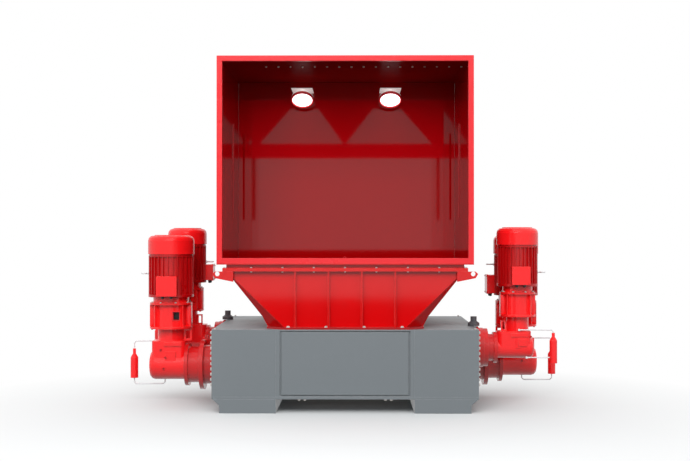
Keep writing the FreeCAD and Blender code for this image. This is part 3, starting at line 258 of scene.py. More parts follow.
finishSettings = {
    # The rim, hopper wall and ceiling finishes are one red paint in three copies: the rim's is
    # lighter and pinker, painted light and sheen; the walls' is darker, painted shade inside the
    # hopper; the ceiling's is darker still and barely reflective, painted shade
    "rimLitPaint": {
        "colour": seen(226, 38, 46), "drift": 0.04, "driftSize": 1.3, "roughness": 0.3,
        "edgeRadius": 0.004, "edgeHighlightAndWear": 0.35, "edgeColour": seen(255, 105, 100),
        "dust": 0.02, "grain": 0.06, "grainSize": 260.0,
    },
    "hopperShadedPaint": {
        "colour": seen(160, 1, 4), "drift": 0.05, "driftSize": 1.1, "roughness": 0.03,
        "edgeRadius": 0.004, "edgeHighlightAndWear": 0.45, "edgeColour": seen(225, 72, 66),
        "dust": 0.02, "grain": 0.002, "grainSize": 60.0,
    },
    "ceilingShadedPaint": {
        "colour": seen(140, 2, 4), "drift": 0.05, "driftSize": 1.1, "roughness": 0.32,
        "edgeRadius": 0.004, "edgeHighlightAndWear": 0.3, "edgeColour": seen(200, 50, 46),
        "dust": 0.0, "grain": 0.01, "grainSize": 60.0, "ior": 1.02,
    },
    "funnelPaint": {
        "colour": seen(206, 5, 8), "drift": 0.06, "driftSize": 1.4, "roughness": 0.1,
        "edgeRadius": 0.004, "edgeHighlightAndWear": 0.55, "edgeColour": seen(255, 98, 88),
        "dust": 0.02, "grain": 0.03, "grainSize": 120.0,
    },
    "flangePaint": {
        "colour": seen(160, 26, 30), "drift": 0.08, "driftSize": 2.0, "roughness": 0.2,
        "edgeRadius": 0.003, "edgeHighlightAndWear": 0.5, "edgeColour": seen(220, 90, 84),
        "dust": 0.04, "grain": 0.05, "grainSize": 160.0,
    },
    "drivePaint": {
        "colour": seen(248, 22, 26), "drift": 0.06, "driftSize": 3.0, "roughness": 0.2,
        "edgeRadius": 0.005, "edgeHighlightAndWear": 0.5, "edgeColour": seen(255, 105, 95),
        "dust": 0.03, "grain": 0.22, "grainSize": 190.0,
    },
    "housingPaint": {
        "colour": seen(206, 14, 18), "drift": 0.06, "driftSize": 3.0, "roughness": 0.2,
        "edgeRadius": 0.004, "edgeHighlightAndWear": 0.6, "edgeColour": seen(255, 100, 92),
        "dust": 0.03, "grain": 0.2, "grainSize": 190.0,
    },
    "motorPaint": {
        "colour": seen(186, 3, 8), "drift": 0.06, "driftSize": 3.0, "roughness": 0.3,
        "edgeRadius": 0.002, "edgeHighlightAndWear": 0.06, "edgeColour": seen(230, 60, 56),
        "dust": 0.03, "grain": 0.1, "grainSize": 220.0,
    },
    "greyPaint": {
        "colour": seen(115, 122, 126), "drift": 0.05, "driftSize": 1.6, "roughness": 0.42,
        "edgeRadius": 0.005, "edgeHighlightAndWear": 0.4, "edgeColour": seen(176, 178, 180),
        "dust": 0.05, "grain": 0.14, "grainSize": 210.0,
    },
    "cutterSteel": {
        "colour": seen(122, 118, 114), "drift": 0.35, "driftSize": 9.0, "roughness": 0.38,
        "edgeRadius": 0.004, "edgeHighlightAndWear": 0.8, "edgeColour": seen(196, 194, 190),
        "dust": 0.12, "grain": 0.35, "grainSize": 160.0, "metal": 0.9,
    },
    "boltSteel": {
        "colour": seen(214, 210, 206), "drift": 0.15, "driftSize": 20.0, "roughness": 0.3,
        "edgeRadius": 0.001, "edgeHighlightAndWear": 0.4, "edgeColour": seen(240, 238, 234),
        "dust": 0.0, "grain": 0.05, "grainSize": 400.0, "metal": 0.55,
    },
    "pipeSteel": {
        "colour": seen(228, 228, 230), "drift": 0.08, "driftSize": 8.0, "roughness": 0.3,
        "edgeRadius": 0.001, "edgeHighlightAndWear": 0.2, "edgeColour": seen(240, 240, 240),
        "dust": 0.0, "grain": 0.04, "grainSize": 300.0, "metal": 0.2,
    },
    "darkIron": {
        "colour": seen(75, 75, 79), "drift": 0.2, "driftSize": 12.0, "roughness": 0.42,
        "edgeRadius": 0.003, "edgeHighlightAndWear": 0.45, "edgeColour": seen(128, 128, 132),
        "dust": 0.06, "grain": 0.35, "grainSize": 150.0,
    },
    # The floodlight bodies glow faintly in their own colour: painted light that keeps them bright
    # white
    "lampMetal": {
        "colour": seen(226, 222, 220), "drift": 0.05, "driftSize": 10.0, "roughness": 0.35,
        "edgeRadius": 0.002, "edgeHighlightAndWear": 0.2, "edgeColour": seen(245, 245, 245),
        "dust": 0.0, "grain": 0.08, "grainSize": 260.0, "metal": 0.2, "glow": 0.45,
    },
    # Dark finish of the cable glands, also used for the dark sheets that are painted shade in the
    # lantern windows and under the fan guards
    "darkRubberAndShade": {
        "colour": seen(30, 30, 32), "drift": 0.2, "driftSize": 14.0, "roughness": 0.6,
        "edgeRadius": 0.002, "edgeHighlightAndWear": 0.3, "edgeColour": seen(70, 70, 72),
        "dust": 0.05, "grain": 0.3, "grainSize": 180.0,
    },
}

finishes = {name: makeFinish(name, look) for name, look in finishSettings.items()}


def makeLensFinish():
    # Lit lens: bright all over, a little weaker and bluer across a fine pattern of cells
    material = bpy.data.materials.new("lampLens")
    material.use_nodes = True
    tree = material.node_tree
    tree.nodes.clear()
    place = addNode(tree, "ShaderNodeTexCoord").outputs["Object"]
    cells = addNode(tree, "ShaderNodeTexVoronoi")
    tree.links.new(place, cells.inputs["Vector"])
    cells.inputs["Scale"].default_value = 60.0
    share = remap(tree, cells.outputs["Distance"], 0.0, 0.7, 0.0, 1.0)
    glow = blendColours(tree, share, (1.0, 1.0, 1.0, 1.0), (0.86, 0.9, 0.95, 1.0))
    shader = addNode(tree, "ShaderNodeBsdfPrincipled")
    tree.links.new(glow, shader.inputs["Base Color"])
    tree.links.new(glow, shader.inputs["Emission Color"])
    shader.inputs["Emission Strength"].default_value = 2.0
    shader.inputs["Roughness"].default_value = 0.2
    output = addNode(tree, "ShaderNodeOutputMaterial")
    tree.links.new(shader.outputs["BSDF"], output.inputs["Surface"])
    return material


finishes["lampLens"] = makeLensFinish()

finishOfNode = {
    "hopper_front_rim": "rimLitPaint",
    "hopper_roof": "ceilingShadedPaint",
    "hopper_base": "funnelPaint",
    "wall_strips": "flangePaint",
    "funnel_foot_flange": "flangePaint",
    "left_floodlight": "lampMetal",
    "right_floodlight": "lampMetal",
    "oil_pipes": "pipeSteel",
    "lubricators": "darkIron",
}
finishOfFamily = {
    "hopper": "hopperShadedPaint", "wall": "hopperShadedPaint",
    "funnel": "funnelPaint", "lifting": "funnelPaint", "bearing": "housingPaint",
    "gearbox": "drivePaint", "lantern": "drivePaint", "fan": "drivePaint",
    "terminal": "drivePaint", "oil": "drivePaint", "motor": "motorPaint",
    "shaft": "cutterSteel",
}
for name, cadNode in cadNodes.items():
    family = "bearing_box" if name.endswith("bearing_box") else name.split("_")[0]
    finish = finishOfNode.get(name) or finishOfFamily.get(family, "greyPaint")
    cadNode.data.materials.clear()
    cadNode.data.materials.append(finishes[finish])
print("finishes made:", len(finishes))


# Studio: pale floor, white surround and soft lamps
studioSettings = {
    "floorHalf": 60.0, "floorColour": (0.61, 0.63, 0.635, 1.0), "fadeStart": 1.5, "fadeEnd": 4.3,
    "fadeShift": (0.0, 1.0, 0.0),
    "horizonLow": -0.03, "horizonHigh": 0.02, "skyAbove": 1.15, "skyBelow": 0.12,
    "keyPlace": (-1.0, -9.0, 6.2), "keySize": (7.0, 4.5), "keyWatts": 700.0,
}

# Cards of the studio that only show in gloss. Those in front of the mouth are placed by their
# slopes from the camera's mirror image behind the back wall of the hopper.
cardSettings = {
    "front": -10.7, "mirrorPlace": (0.105, 12.694, 1.62),
    "panelAcross": (-0.085, 0.065), "panelRise": (-0.011, 0.0686), "panelTone": 0.95,
    "wingAcross": (-0.094, 0.078), "wingTone": 0.75, "barRise": (0.015, 0.0686), "barTone": 0.02,
    "bars": ((-0.091, -0.0879), (0.0695, 0.0722)),
    "shadeRise": (0.0814, 0.1116), "shadeTone": 0.7,
    "shades": ((-0.0839, -0.0116, -0.0574, -0.0332), (-0.0091, 0.0652, 0.0143, 0.0385)),
    "flagHalf": 9.0, "flagLow": -3.0, "flagHigh": 12.0, "flagColour": (0.1, 0.01, 0.015, 1.0),
    "redAcross": (-0.1, 0.085), "redRise": (0.0686, 0.14), "redColour": (3.0, 0.01, 0.05, 1.0),
    "funnelFront": -4.0, "funnelHalf": 1.7, "funnelLow": 0.894, "funnelHigh": 1.33,
    "sideFront": -1.4, "sideLow": -1.0, "sideHigh": 2.6, "sideFar": 6.0,
    "leftNear": -1.344, "rightNear": 1.332, "sideTone": 0.9,
}


def linkStage(name, mesh, material):
    thing = bpy.data.objects.new(name, mesh)
    bpy.context.scene.collection.objects.link(thing)
    mesh.materials.append(material)
    return thing


def makeFloorFinish(settings):
    material = bpy.data.materials.new("floorFinish")
    material.use_nodes = True
    tree = material.node_tree
    tree.nodes.clear()
    place = addNode(tree, "ShaderNodeTexCoord").outputs["Object"]
    shifted = addNode(tree, "ShaderNodeVectorMath", operation="ADD")
    tree.links.new(place, shifted.inputs[0])
    shifted.inputs[1].default_value = settings["fadeShift"]
    reach = addNode(tree, "ShaderNodeVectorMath", operation="LENGTH")
    tree.links.new(shifted.outputs["Vector"], reach.inputs[0])
    far = remap(tree, reach.outputs["Value"], settings["fadeStart"], settings["fadeEnd"], 0.0, 1.0)
    matt = addNode(tree, "ShaderNodeBsdfDiffuse")
    matt.inputs["Color"].default_value = settings["floorColour"]
    white = addNode(tree, "ShaderNodeEmission")
    mixed = addNode(tree, "ShaderNodeMixShader")
    tree.links.new(far, mixed.inputs[0])
    tree.links.new(matt.outputs[0], mixed.inputs[1])
    tree.links.new(white.outputs[0], mixed.inputs[2])
    output = addNode(tree, "ShaderNodeOutputMaterial")
    tree.links.new(mixed.outputs[0], output.inputs["Surface"])
    return material


def makeGlow(name, colour, fade=None):
    # Plain glow, or one that dies away between two heights
    material = bpy.data.materials.new(name)
    material.use_nodes = True
    tree = material.node_tree
    tree.nodes.clear()
    light = addNode(tree, "ShaderNodeEmission")
    light.inputs["Color"].default_value = colour
    if fade:
        place = addNode(tree, "ShaderNodeTexCoord").outputs["Object"]
        parts = addNode(tree, "ShaderNodeSeparateXYZ")
        tree.links.new(place, parts.inputs[0])
        tree.links.new(remap(tree, parts.outputs["Z"], *fade, 1.0, 0.0), light.inputs["Strength"])
    output = addNode(tree, "ShaderNodeOutputMaterial")
    tree.links.new(light.outputs[0], output.inputs["Surface"])
    return material


def onlyInReflections(thing):
    thing.visible_camera = False
    thing.visible_diffuse = False
    thing.visible_transmission = False
    thing.visible_shadow = False


def addCard(name, front, corners, colour, fade=None):
    # Upright glowing sheet across Y, given by its corners in X and Z
    shape = bmesh.new()
    shape.faces.new([shape.verts.new((x, front, z)) for x, z in corners])
    mesh = bpy.data.meshes.new(name)
    shape.to_mesh(mesh)
    shape.free()
    onlyInReflections(linkStage(name, mesh, makeGlow(name + "Glow", colour, fade)))


def addCards(settings):
    def grey(tone):
        return (tone, tone, tone, 1.0)

    def upright(low, high, foot, top):
        return [(low, foot), (high, foot), (high, top), (low, top)]

    front = settings["front"]
    eyeX, eyeY, eyeZ = settings["mirrorPlace"]
    reach = eyeY - front

    def fromSlopes(low0, low1, high0, high1, foot, top):
        return [(eyeX + across * reach, eyeZ + rise * reach)
                for across, rise in ((low0, foot), (low1, foot), (high1, top), (high0, top))]

    half = settings["flagHalf"]
    addCard("flag", front - 0.3, upright(-half, half, settings["flagLow"], settings["flagHigh"]),
            settings["flagColour"])
    low, high = settings["redAcross"]
    foot, top = settings["redRise"]
    addCard("redCard", front - 0.2, fromSlopes(low, high, low, high, foot, top),
            settings["redColour"], (eyeZ + foot * reach, eyeZ + top * reach))
    low, high = settings["wingAcross"]
    addCard("wings", front - 0.1, fromSlopes(low, high, low, high, *settings["panelRise"]),
            grey(settings["wingTone"]))
    for number, (low, high) in enumerate(settings["bars"]):
        addCard(f"bar{number}", front, fromSlopes(low, high, low, high, *settings["barRise"]),
                grey(settings["barTone"]))
    low, high = settings["panelAcross"]
    addCard("panel", front, fromSlopes(low, high, low, high, *settings["panelRise"]),
            grey(settings["panelTone"]))
    for number, slopes in enumerate(settings["shades"]):
        addCard(f"shade{number}", front, fromSlopes(*slopes, *settings["shadeRise"]),
                grey(settings["shadeTone"]))
    half = settings["funnelHalf"]
    addCard("funnelCard", settings["funnelFront"],
            upright(-half, half, settings["funnelLow"], settings["funnelHigh"]), grey(1.0))
    foot, top, far = settings["sideLow"], settings["sideHigh"], settings["sideFar"]
    for name, low, high in (("leftCard", -far, settings["leftNear"]),
                            ("rightCard", settings["rightNear"], far)):
        addCard(name, settings["sideFront"], upright(low, high, foot, top),
                grey(settings["sideTone"]))


def addStudio(settings):
    shape = bmesh.new()
    bmesh.ops.create_grid(shape, x_segments=1, y_segments=1, size=settings["floorHalf"])
    mesh = bpy.data.meshes.new("floor")
    shape.to_mesh(mesh)
    shape.free()
    floor = linkStage("floor", mesh, makeFloorFinish(settings))
    floor.visible_glossy = False
    floor.visible_diffuse = False
    lamp = bpy.data.lights.new("key", "AREA")
    lamp.shape = "RECTANGLE"
    lamp.size, lamp.size_y = settings["keySize"]
    lamp.energy = settings["keyWatts"]
    key = bpy.data.objects.new("key", lamp)
    bpy.context.scene.collection.objects.link(key)
    key.location = settings["keyPlace"]
    key.rotation_mode = "QUATERNION"
    key.rotation_quaternion = (Vector((0, 0, 1.2)) - key.location).to_track_quat("-Z", "Y")
    key.visible_glossy = False
    world = bpy.data.worlds.new("surround")
    bpy.context.scene.world = world
    world.use_nodes = True
    tree = world.node_tree
    tree.nodes.clear()
    direction = addNode(tree, "ShaderNodeTexCoord").outputs["Generated"]
    parts = addNode(tree, "ShaderNodeSeparateXYZ")
    tree.links.new(direction, parts.inputs[0])
    soft = remap(tree, parts.outputs["Z"], settings["horizonLow"], settings["horizonHigh"],
                 settings["skyBelow"], settings["skyAbove"])
    paths = addNode(tree, "ShaderNodeLightPath")
    seenDirectly = calculate(tree, "MAXIMUM", paths.outputs["Is Camera Ray"],
                             paths.outputs["Is Glossy Ray"])
    seenDirectly = calculate(tree, "MAXIMUM", seenDirectly, paths.outputs["Is Transmission Ray"])
    strength = addNode(tree, "ShaderNodeMix")
    tree.links.new(seenDirectly, strength.inputs[0])
    tree.links.new(soft, strength.inputs[2])
    strength.inputs[3].default_value = 1.0
    back = addNode(tree, "ShaderNodeBackground")
    back.inputs["Color"].default_value = (1.0, 1.0, 1.0, 1.0)
    tree.links.new(strength.outputs[0], back.inputs["Strength"])
    output = addNode(tree, "ShaderNodeOutputWorld")
    tree.links.new(back.outputs[0], output.inputs["Surface"])


addStudio(studioSettings)
addCards(cardSettings)
print("studio ready")


# Shape tools: like details are gathered in one bmesh and kept as one piece
def turnTo(place, direction):
    # Matrix that puts a shape drawn along +Z at a place, pointing along a direction
    turn = Vector(direction).to_track_quat("Z", "Y").to_matrix().to_4x4()
    return Matrix.Translation(Vector(place)) @ turn


def addPrism(shape, matrix, sides, radius, height, topRadius=None, lift=0.0):
    made = bmesh.ops.create_cone(shape, cap_ends=True, segments=sides, radius1=radius,
                                 radius2=radius if topRadius is None else topRadius,
                                 depth=height)
    bmesh.ops.translate(shape, verts=made["verts"], vec=(0, 0, lift + height / 2))
    bmesh.ops.transform(shape, verts=made["verts"], matrix=matrix)


def addBlock(shape, low, high, edge=0.0, matrix=None):
    made = bmesh.ops.create_cube(shape, size=1.0)
    low, high = Vector(low), Vector(high)
    bmesh.ops.scale(shape, verts=made["verts"], vec=high - low)
    bmesh.ops.translate(shape, verts=made["verts"], vec=(low + high) / 2)
    verts = made["verts"]
    if edge:
        lines = list({line for vert in verts for line in vert.link_edges})
        softened = bmesh.ops.bevel(shape, geom=lines, offset=edge, segments=2,
                                   affect="EDGES", profile=0.5, material=-1)
        verts = list({vert for face in softened["faces"] for vert in face.verts})
    if matrix is not None:
        bmesh.ops.transform(shape, verts=verts, matrix=matrix)


def joinedVerts(starts):
    # All vertices that hang together with the given ones
    reached = set(starts)
    pending = list(reached)
    while pending:
        for line in pending.pop().link_edges:
            fresh = [vert for vert in line.verts if vert not in reached]
            reached.update(fresh)
            pending.extend(fresh)
    return list(reached)


def addTurned(shape, matrix, profile, steps):
    # Profile points are (radius, height), turned once round +Z
    points = [shape.verts.new((radius, 0, height)) for radius, height in profile]
    lines = [shape.edges.new(pair) for pair in zip(points, points[1:])]
    bmesh.ops.spin(shape, geom=points + lines, cent=(0, 0, 0), axis=(0, 0, 1),
                   angle=math.tau, steps=steps, use_merge=True)
    turned = joinedVerts(points)
    bmesh.ops.remove_doubles(shape, verts=turned, dist=0.00002)
    turned = [vert for vert in turned if vert.is_valid]
    bmesh.ops.transform(shape, verts=turned, matrix=matrix)


def addRing(shape, matrix, radius, wire, steps):
    # Closed ring of round wire about +Z
    loop = [shape.verts.new((radius + wire * math.cos(math.tau * n / 8), 0,
                             wire * math.sin(math.tau * n / 8))) for n in range(8)]
    lines = [shape.edges.new((loop[n - 1], loop[n])) for n in range(8)]
    bmesh.ops.spin(shape, geom=loop + lines, cent=(0, 0, 0), axis=(0, 0, 1),
                   angle=math.tau, steps=steps, use_merge=True)
    bmesh.ops.transform(shape, verts=joinedVerts(loop), matrix=matrix)


def addBolt(shape, place, direction, size):
    # Hexagon head with a chamfer on a washer; size is half the width over its corners
    matrix = turnTo(place, direction)
    addPrism(shape, matrix, 12, size * 1.25, size * 0.22)
    addPrism(shape, matrix, 6, size, size * 0.6, lift=size * 0.22)
    addPrism(shape, matrix, 6, size, size * 0.14, size * 0.82, lift=size * 0.82)


def addSocketScrew(shape, place, direction, size):
    # Round head with a dimple for the key
    addTurned(shape, turnTo(place, direction), [
        (0.0, 0.0), (size, 0.0), (size, size * 0.85), (size * 0.86, size),
        (size * 0.5, size), (size * 0.42, size * 0.5), (0.0, size * 0.5)], 12)


def ringPlaces(centre, direction, radius, count, turn=0.0):
    matrix = turnTo(centre, direction)
    for number in range(count):
        angle = turn + math.tau * number / count
        yield matrix @ Vector((radius * math.cos(angle), radius * math.sin(angle), 0))


def evenly(count, pitch):
    return [pitch * (number - (count - 1) / 2) for number in range(count)]


def keepPiece(name, shape, finish, smooth=35.0):
    # Finish a bmesh as a piece of the machine
    bmesh.ops.recalc_face_normals(shape, faces=shape.faces)
    mesh = bpy.data.meshes.new(name)
    shape.to_mesh(mesh)
    shape.free()
    mesh.polygons.foreach_set("use_smooth", [True] * len(mesh.polygons))
    mesh.set_sharp_from_angle(angle=math.radians(smooth))
    piece = bpy.data.objects.new(name, mesh)
    bpy.context.scene.collection.objects.link(piece)
    mesh.materials.append(finishes[finish])
    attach(piece, "root")


# Bolts of the funnel and the joint under the hopper
funnelSettings = {
    "footPitch": 0.35, "footCount": 4, "footFront": 0.0187, "footRear": 0.0204,
    "footSize": 0.015, "topPitch": 0.289, "topCount": 7, "topBack": 0.030, "topSize": 0.009,
    "sidePitch": 0.26, "sideCount": 5, "sideIn": 0.014, "baseFlange": 0.016, "lugClear": 0.05,
}


def addFunnelBolts(settings):
    shape = bmesh.new()
    low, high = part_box("funnel_foot_flange")
    for x in evenly(settings["footCount"], settings["footPitch"]):
        for y in (low.y + settings["footFront"], high.y - settings["footRear"]):
            addBolt(shape, (x, y, high.z), (0, 0, 1), settings["footSize"])
    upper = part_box("hopper_base")[0].z + settings["baseFlange"]
    low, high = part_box("funnel_top_flange")
    ends = (low.x + settings["sideIn"], high.x - settings["sideIn"])
    edges = (low.y + settings["topBack"], high.y - settings["topBack"])
    middle = (low.y + high.y) / 2
    places = [(x, y) for x in evenly(settings["topCount"], settings["topPitch"]) for y in edges]
    places += [(x, middle + y) for y in evenly(settings["sideCount"], settings["sidePitch"])
               for x in ends]
    places += [(x, y) for x in ends for y in edges]
    for x, y in places:
        addBolt(shape, (x, y, upper), (0, 0, 1), settings["topSize"])
        if abs(x) < high.x - settings["lugClear"]:
            addBolt(shape, (x, y, low.z), (0, 0, -1), settings["topSize"])
    keepPiece("funnel_bolts", shape, "boltSteel")


addFunnelBolts(funnelSettings)
print("funnel ready")


# Inside of the hopper: screws along the ceiling, wire loop at the foot of the back wall
hopperSettings = {
    "screwFirst": -0.755, "screwPitch": 0.116, "screwCount": 17, "screwBack": 0.3,
    "screwSize": 0.011, "loopAcross": -0.019, "loopRadius": 0.016, "loopWire": 0.004,
}


def addHopperScrews(settings):
    shape = bmesh.new()
    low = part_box("hopper_roof")[0]
    for number in range(settings["screwCount"]):
        x = settings["screwFirst"] + settings["screwPitch"] * number
        addSocketScrew(shape, (x, low.y + settings["screwBack"], low.z), (0, 0, -1),
                       settings["screwSize"])
    keepPiece("ceiling_screws", shape, "boltSteel")


def addSillLoop(settings):
    shape = bmesh.new()
    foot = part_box("hopper_base")[1].z
    radius, wire = settings["loopRadius"], settings["loopWire"]
    place = (settings["loopAcross"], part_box("hopper_back_wall")[0].y - 2 * wire,
             foot + radius + wire)
    addRing(shape, turnTo(place, (0, -1, 0)), radius, wire, 16)
    addPrism(shape, turnTo((place[0], place[1], foot), (0, 0, 1)), 10, wire * 2.2, wire)
    keepPiece("sill_loop", shape, "rimLitPaint")


addHopperScrews(hopperSettings)
addSillLoop(hopperSettings)
print("hopper ready")


# Lamps: lit lens in a ring, and the light that each one throws on the wall behind
lampSettings = {
    "across": 0.453, "front": 0.347, "height": 3.039, "tilt": 55.0,
    "lensRadius": 0.102, "ringRadius": 0.116, "ringDepth": 0.014,
    "lightReach": 0.1, "lightSize": 0.06, "lightWatts": 0.8, "lightColour": (1.0, 0.8, 0.8),
}


def addLamps(settings):
    lenses = bmesh.new()
    rings = bmesh.new()
    tilt = math.radians(settings["tilt"])
    facing = Vector((0, -math.cos(tilt), -math.sin(tilt)))
    lens, ring, deep = settings["lensRadius"], settings["ringRadius"], settings["ringDepth"]
    for side in (-1, 1):
        matrix = turnTo((side * settings["across"], settings["front"], settings["height"]), facing)
        addTurned(lenses, matrix, [
            (0.0, 0.0), (lens, 0.0), (lens, deep * 0.3), (lens * 0.6, deep * 0.55),
            (0.0, deep * 0.65)], 40)
        addTurned(rings, matrix, [
            (lens + 0.001, 0.0), (lens + 0.001, deep * 0.9), (lens + 0.003, deep),
            (ring - 0.003, deep), (ring, deep * 0.8), (ring, -deep), (lens + 0.001, -deep),
            (lens + 0.001, 0.0)], 40)
        glow = bpy.data.lights.new("lampGlow", "POINT")
        glow.energy = settings["lightWatts"]
        glow.color = settings["lightColour"]
        glow.shadow_soft_size = settings["lightSize"]
        lamp = bpy.data.objects.new("lampGlow", glow)
        bpy.context.scene.collection.objects.link(lamp)
        lamp.location = matrix @ Vector((0, 0, settings["lightReach"]))
        lamp.visible_glossy = False
    keepPiece("lamp_lenses", lenses, "lampLens")
    keepPiece("lamp_rings", rings, "rimLitPaint")


addLamps(lampSettings)
print("lamps ready")


# Grey body: bolts of the end plates, corner screws and clamps under the base
bodySettings = {
    "endFirst": 0.262, "endPitch": 0.048, "endCount": 11, "endIn": 0.022, "endSize": 0.014,
    "cornerIn": 0.03, "cornerSize": 0.011, "clampAcross": (0.372, 0.425),
}


def addBodyBolts(settings):
    shape = bmesh.new()
    low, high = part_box("right_bearing_box")
    for side in (-1, 1):
        for number in range(settings["endCount"]):
            z = settings["endFirst"] + settings["endPitch"] * number
            for y in (low.y + settings["endIn"], high.y - settings["endIn"]):
                addBolt(shape, (side * high.x, y, z), (side, 0, 0), settings["endSize"])
        for y in (low.y + settings["cornerIn"], high.y - settings["cornerIn"]):
            place = (side * (high.x - settings["cornerIn"]), y, high.z)
            addSocketScrew(shape, place, (0, 0, 1), settings["cornerSize"])
        for across in settings["clampAcross"]:
            place = (side * across, low.y + settings["cornerIn"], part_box("base_plate")[0].z)
            addBolt(shape, place, (0, 0, -1), settings["endSize"])
    keepPiece("body_bolts", shape, "boltSteel")


addBodyBolts(bodySettings)
print("body ready")


# Drives: bolts round the housings and at the lantern flanges, lifting eyes of the motors
driveSettings = {
    "ringBolts": 16, "ringSize": 0.013, "ringOut": 0.026, "ringTurn": 0.1,
    "ringReach": 0.9, "ringHeights": (0.16, 0.76),
    "flangeBolts": 8, "flangeSize": 0.0105, "flangeIn": 0.018, "flangeTurn": 0.39,
    "deckDrop": 0.055, "eyeRadius": 0.024, "eyeWire": 0.0065, "eyeStem": 0.022,
    "eyeSink": 0.006, "eyeFoot": 0.008, "eyeLead": 0.012,
    "eyeHeight": {"a": 1.264, "b": 1.286, "c": 1.367, "d": 1.347},
    "eyeSide": {"a": -1, "b": 1, "c": 1, "d": -1},
}
driveLetters = "abcd"
innerDrives = "ad"


def driveSide(letter):
    return 1 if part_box("fan_cowl_" + letter)[0].x > 0 else -1


def motorAxis(letter):
    low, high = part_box("fan_cowl_" + letter)
    return (low.x + high.x) / 2, (low.y + high.y) / 2


def addDriveBolts(settings):
    steel = bmesh.new()
    painted = bmesh.new()
    lowest, highest = settings["ringHeights"]
    for letter in driveLetters:
        side = driveSide(letter)
        motorX, motorY = motorAxis(letter)
        low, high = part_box("bearing_housing_" + letter)
        centre = (low.x if side > 0 else high.x, motorY, (low.z + high.z) / 2)
        reach = (high.z - low.z) / 2 + settings["ringOut"]
        for place in ringPlaces(centre, (side, 0, 0), reach, settings["ringBolts"],
                                settings["ringTurn"]):
            if abs(place.y) < settings["ringReach"] and lowest < place.z < highest:
                addBolt(steel, place, (side, 0, 0), settings["ringSize"])
        low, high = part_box("lantern_" + letter)
        reach = (high.x - low.x) / 2 - settings["flangeIn"]
        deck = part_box("motor_" + letter)[0].z - settings["deckDrop"]
        for place in ringPlaces((motorX, motorY, 0), (0, 0, 1), reach, settings["flangeBolts"],
                                settings["flangeTurn"]):
            addBolt(painted, (place.x, place.y, low.z), (0, 0, -1), settings["flangeSize"])
            addBolt(steel, (place.x, place.y, deck), (0, 0, 1), settings["flangeSize"])
    keepPiece("drive_bolts", steel, "boltSteel")
    keepPiece("flange_bolts", painted, "drivePaint")


def addEyes(settings):
    shape = bmesh.new()
    stem, foot, ring = settings["eyeStem"], settings["eyeFoot"], settings["eyeRadius"]
    for letter in driveLetters:
        out = settings["eyeSide"][letter]
        motorX, motorY = motorAxis(letter)
        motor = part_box("motor_" + letter)
        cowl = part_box("fan_cowl_" + letter)
        reach = min(abs(motorX - motor[0 if out < 0 else 1].x), (cowl[1].x - cowl[0].x) / 2)
        root = (motorX + out * (reach - settings["eyeSink"]), motorY,
                settings["eyeHeight"][letter])
        matrix = turnTo(root, (out, 0, 0))
        addPrism(shape, matrix, 14, stem * 0.62, foot)
        addPrism(shape, matrix, 14, stem * 0.5, stem * 0.7, stem * 0.28, lift=foot)
        lead = settings["eyeLead"] + stem * 0.7 + ring
        flat = Matrix.Translation((root[0] + out * lead, root[1], root[2]))
        addRing(shape, flat, ring, settings["eyeWire"], 24)
    keepPiece("motor_eyes", shape, "pipeSteel")


addDriveBolts(driveSettings)
addEyes(driveSettings)


# Lanterns: side cheeks, framed inspection windows, the inner ones filled with a dark sheet that is
# painted shade for the inside; plugs on the gearboxes
lanternSettings = {
    "inner": {"drum": 0.162, "flange": 0.207, "low": 0.726, "high": 0.981},
    "outer": {"drum": 0.130, "flange": 0.170, "low": 0.862, "high": 1.097},
    "flangeThickness": 0.02, "cheekHalf": 0.05, "cheekInset": 0.004, "cheekRoot": 0.02,
    "cheekEdge": 0.006, "insetClear": 0.002, "insetThickness": 0.003,
    "windowAcross": 0.071, "windowDeep": 0.055, "windowWide": 0.057, "windowTall": 0.077,
    "frameWide": 0.006, "frameProud": 0.004,
}
plugSettings = {
    "places": (("a", -1.802, 0.523), ("a", -1.754, 0.451), ("a", -1.770, 0.344),
               ("b", 1.764, 0.671), ("d", 1.763, 0.386)),
    "size": 0.011, "start": -3.0,
}


def addLanternDetails(settings):
    cheeks = bmesh.new()
    frames = bmesh.new()
    shadeSheets = bmesh.new()
    covers = bmesh.new()
    thick, half = settings["flangeThickness"], settings["cheekHalf"]
    wide, tall = settings["windowWide"] / 2, settings["windowTall"] / 2
    bar, proud = settings["frameWide"], settings["frameProud"]
    across, clear = settings["windowAcross"], settings["insetClear"]
    for letter in driveLetters:
        motorX, motorY = motorAxis(letter)
        own = settings["inner" if letter in innerDrives else "outer"]
        drum = own["drum"]
        for out in (-1, 1):
            ends = sorted((motorX + out * (drum - settings["cheekRoot"]),
                           motorX + out * (own["flange"] - settings["cheekInset"])))
            addBlock(cheeks, (ends[0], motorY - half, own["low"] + thick),
                     (ends[1], motorY + half, own["high"] - thick), settings["cheekEdge"])
        turn = Matrix.Translation((motorX, motorY, (own["low"] + own["high"]) / 2))
        if driveSide(letter) > 0:
            turn = turn @ Matrix.Rotation(math.pi, 4, "Z")
        deep = settings["windowDeep"] - drum
        # Inner windows get a dark sheet, painted shade for the inside of the lantern; outer ones a
        # painted cover
        addBlock(shadeSheets if letter in innerDrives else covers,
                 (across - wide + clear, deep - settings["insetThickness"], -tall + clear),
                 (across + wide - clear, deep, tall - clear), matrix=turn)
        lean = math.asin(across / drum)
        face = turn @ Matrix.Rotation(lean, 4, "Z") @ Matrix.Translation((0, -drum, 0))
        leaned = wide / math.cos(lean)
        for low, high in (((-leaned - bar, -tall - bar), (-leaned, tall + bar)),
                          ((leaned, -tall - bar), (leaned + bar, tall + bar)),
                          ((-leaned, -tall - bar), (leaned, -tall)),
                          ((-leaned, tall), (leaned, tall + bar))):
            addBlock(frames, (low[0], -proud, low[1]), (high[0], proud, high[1]), matrix=face)
    keepPiece("lantern_cheeks", cheeks, "drivePaint")
    keepPiece("window_frames", frames, "rimLitPaint")
    keepPiece("window_shade_sheets", shadeSheets, "darkRubberAndShade")
    keepPiece("window_covers", covers, "drivePaint")


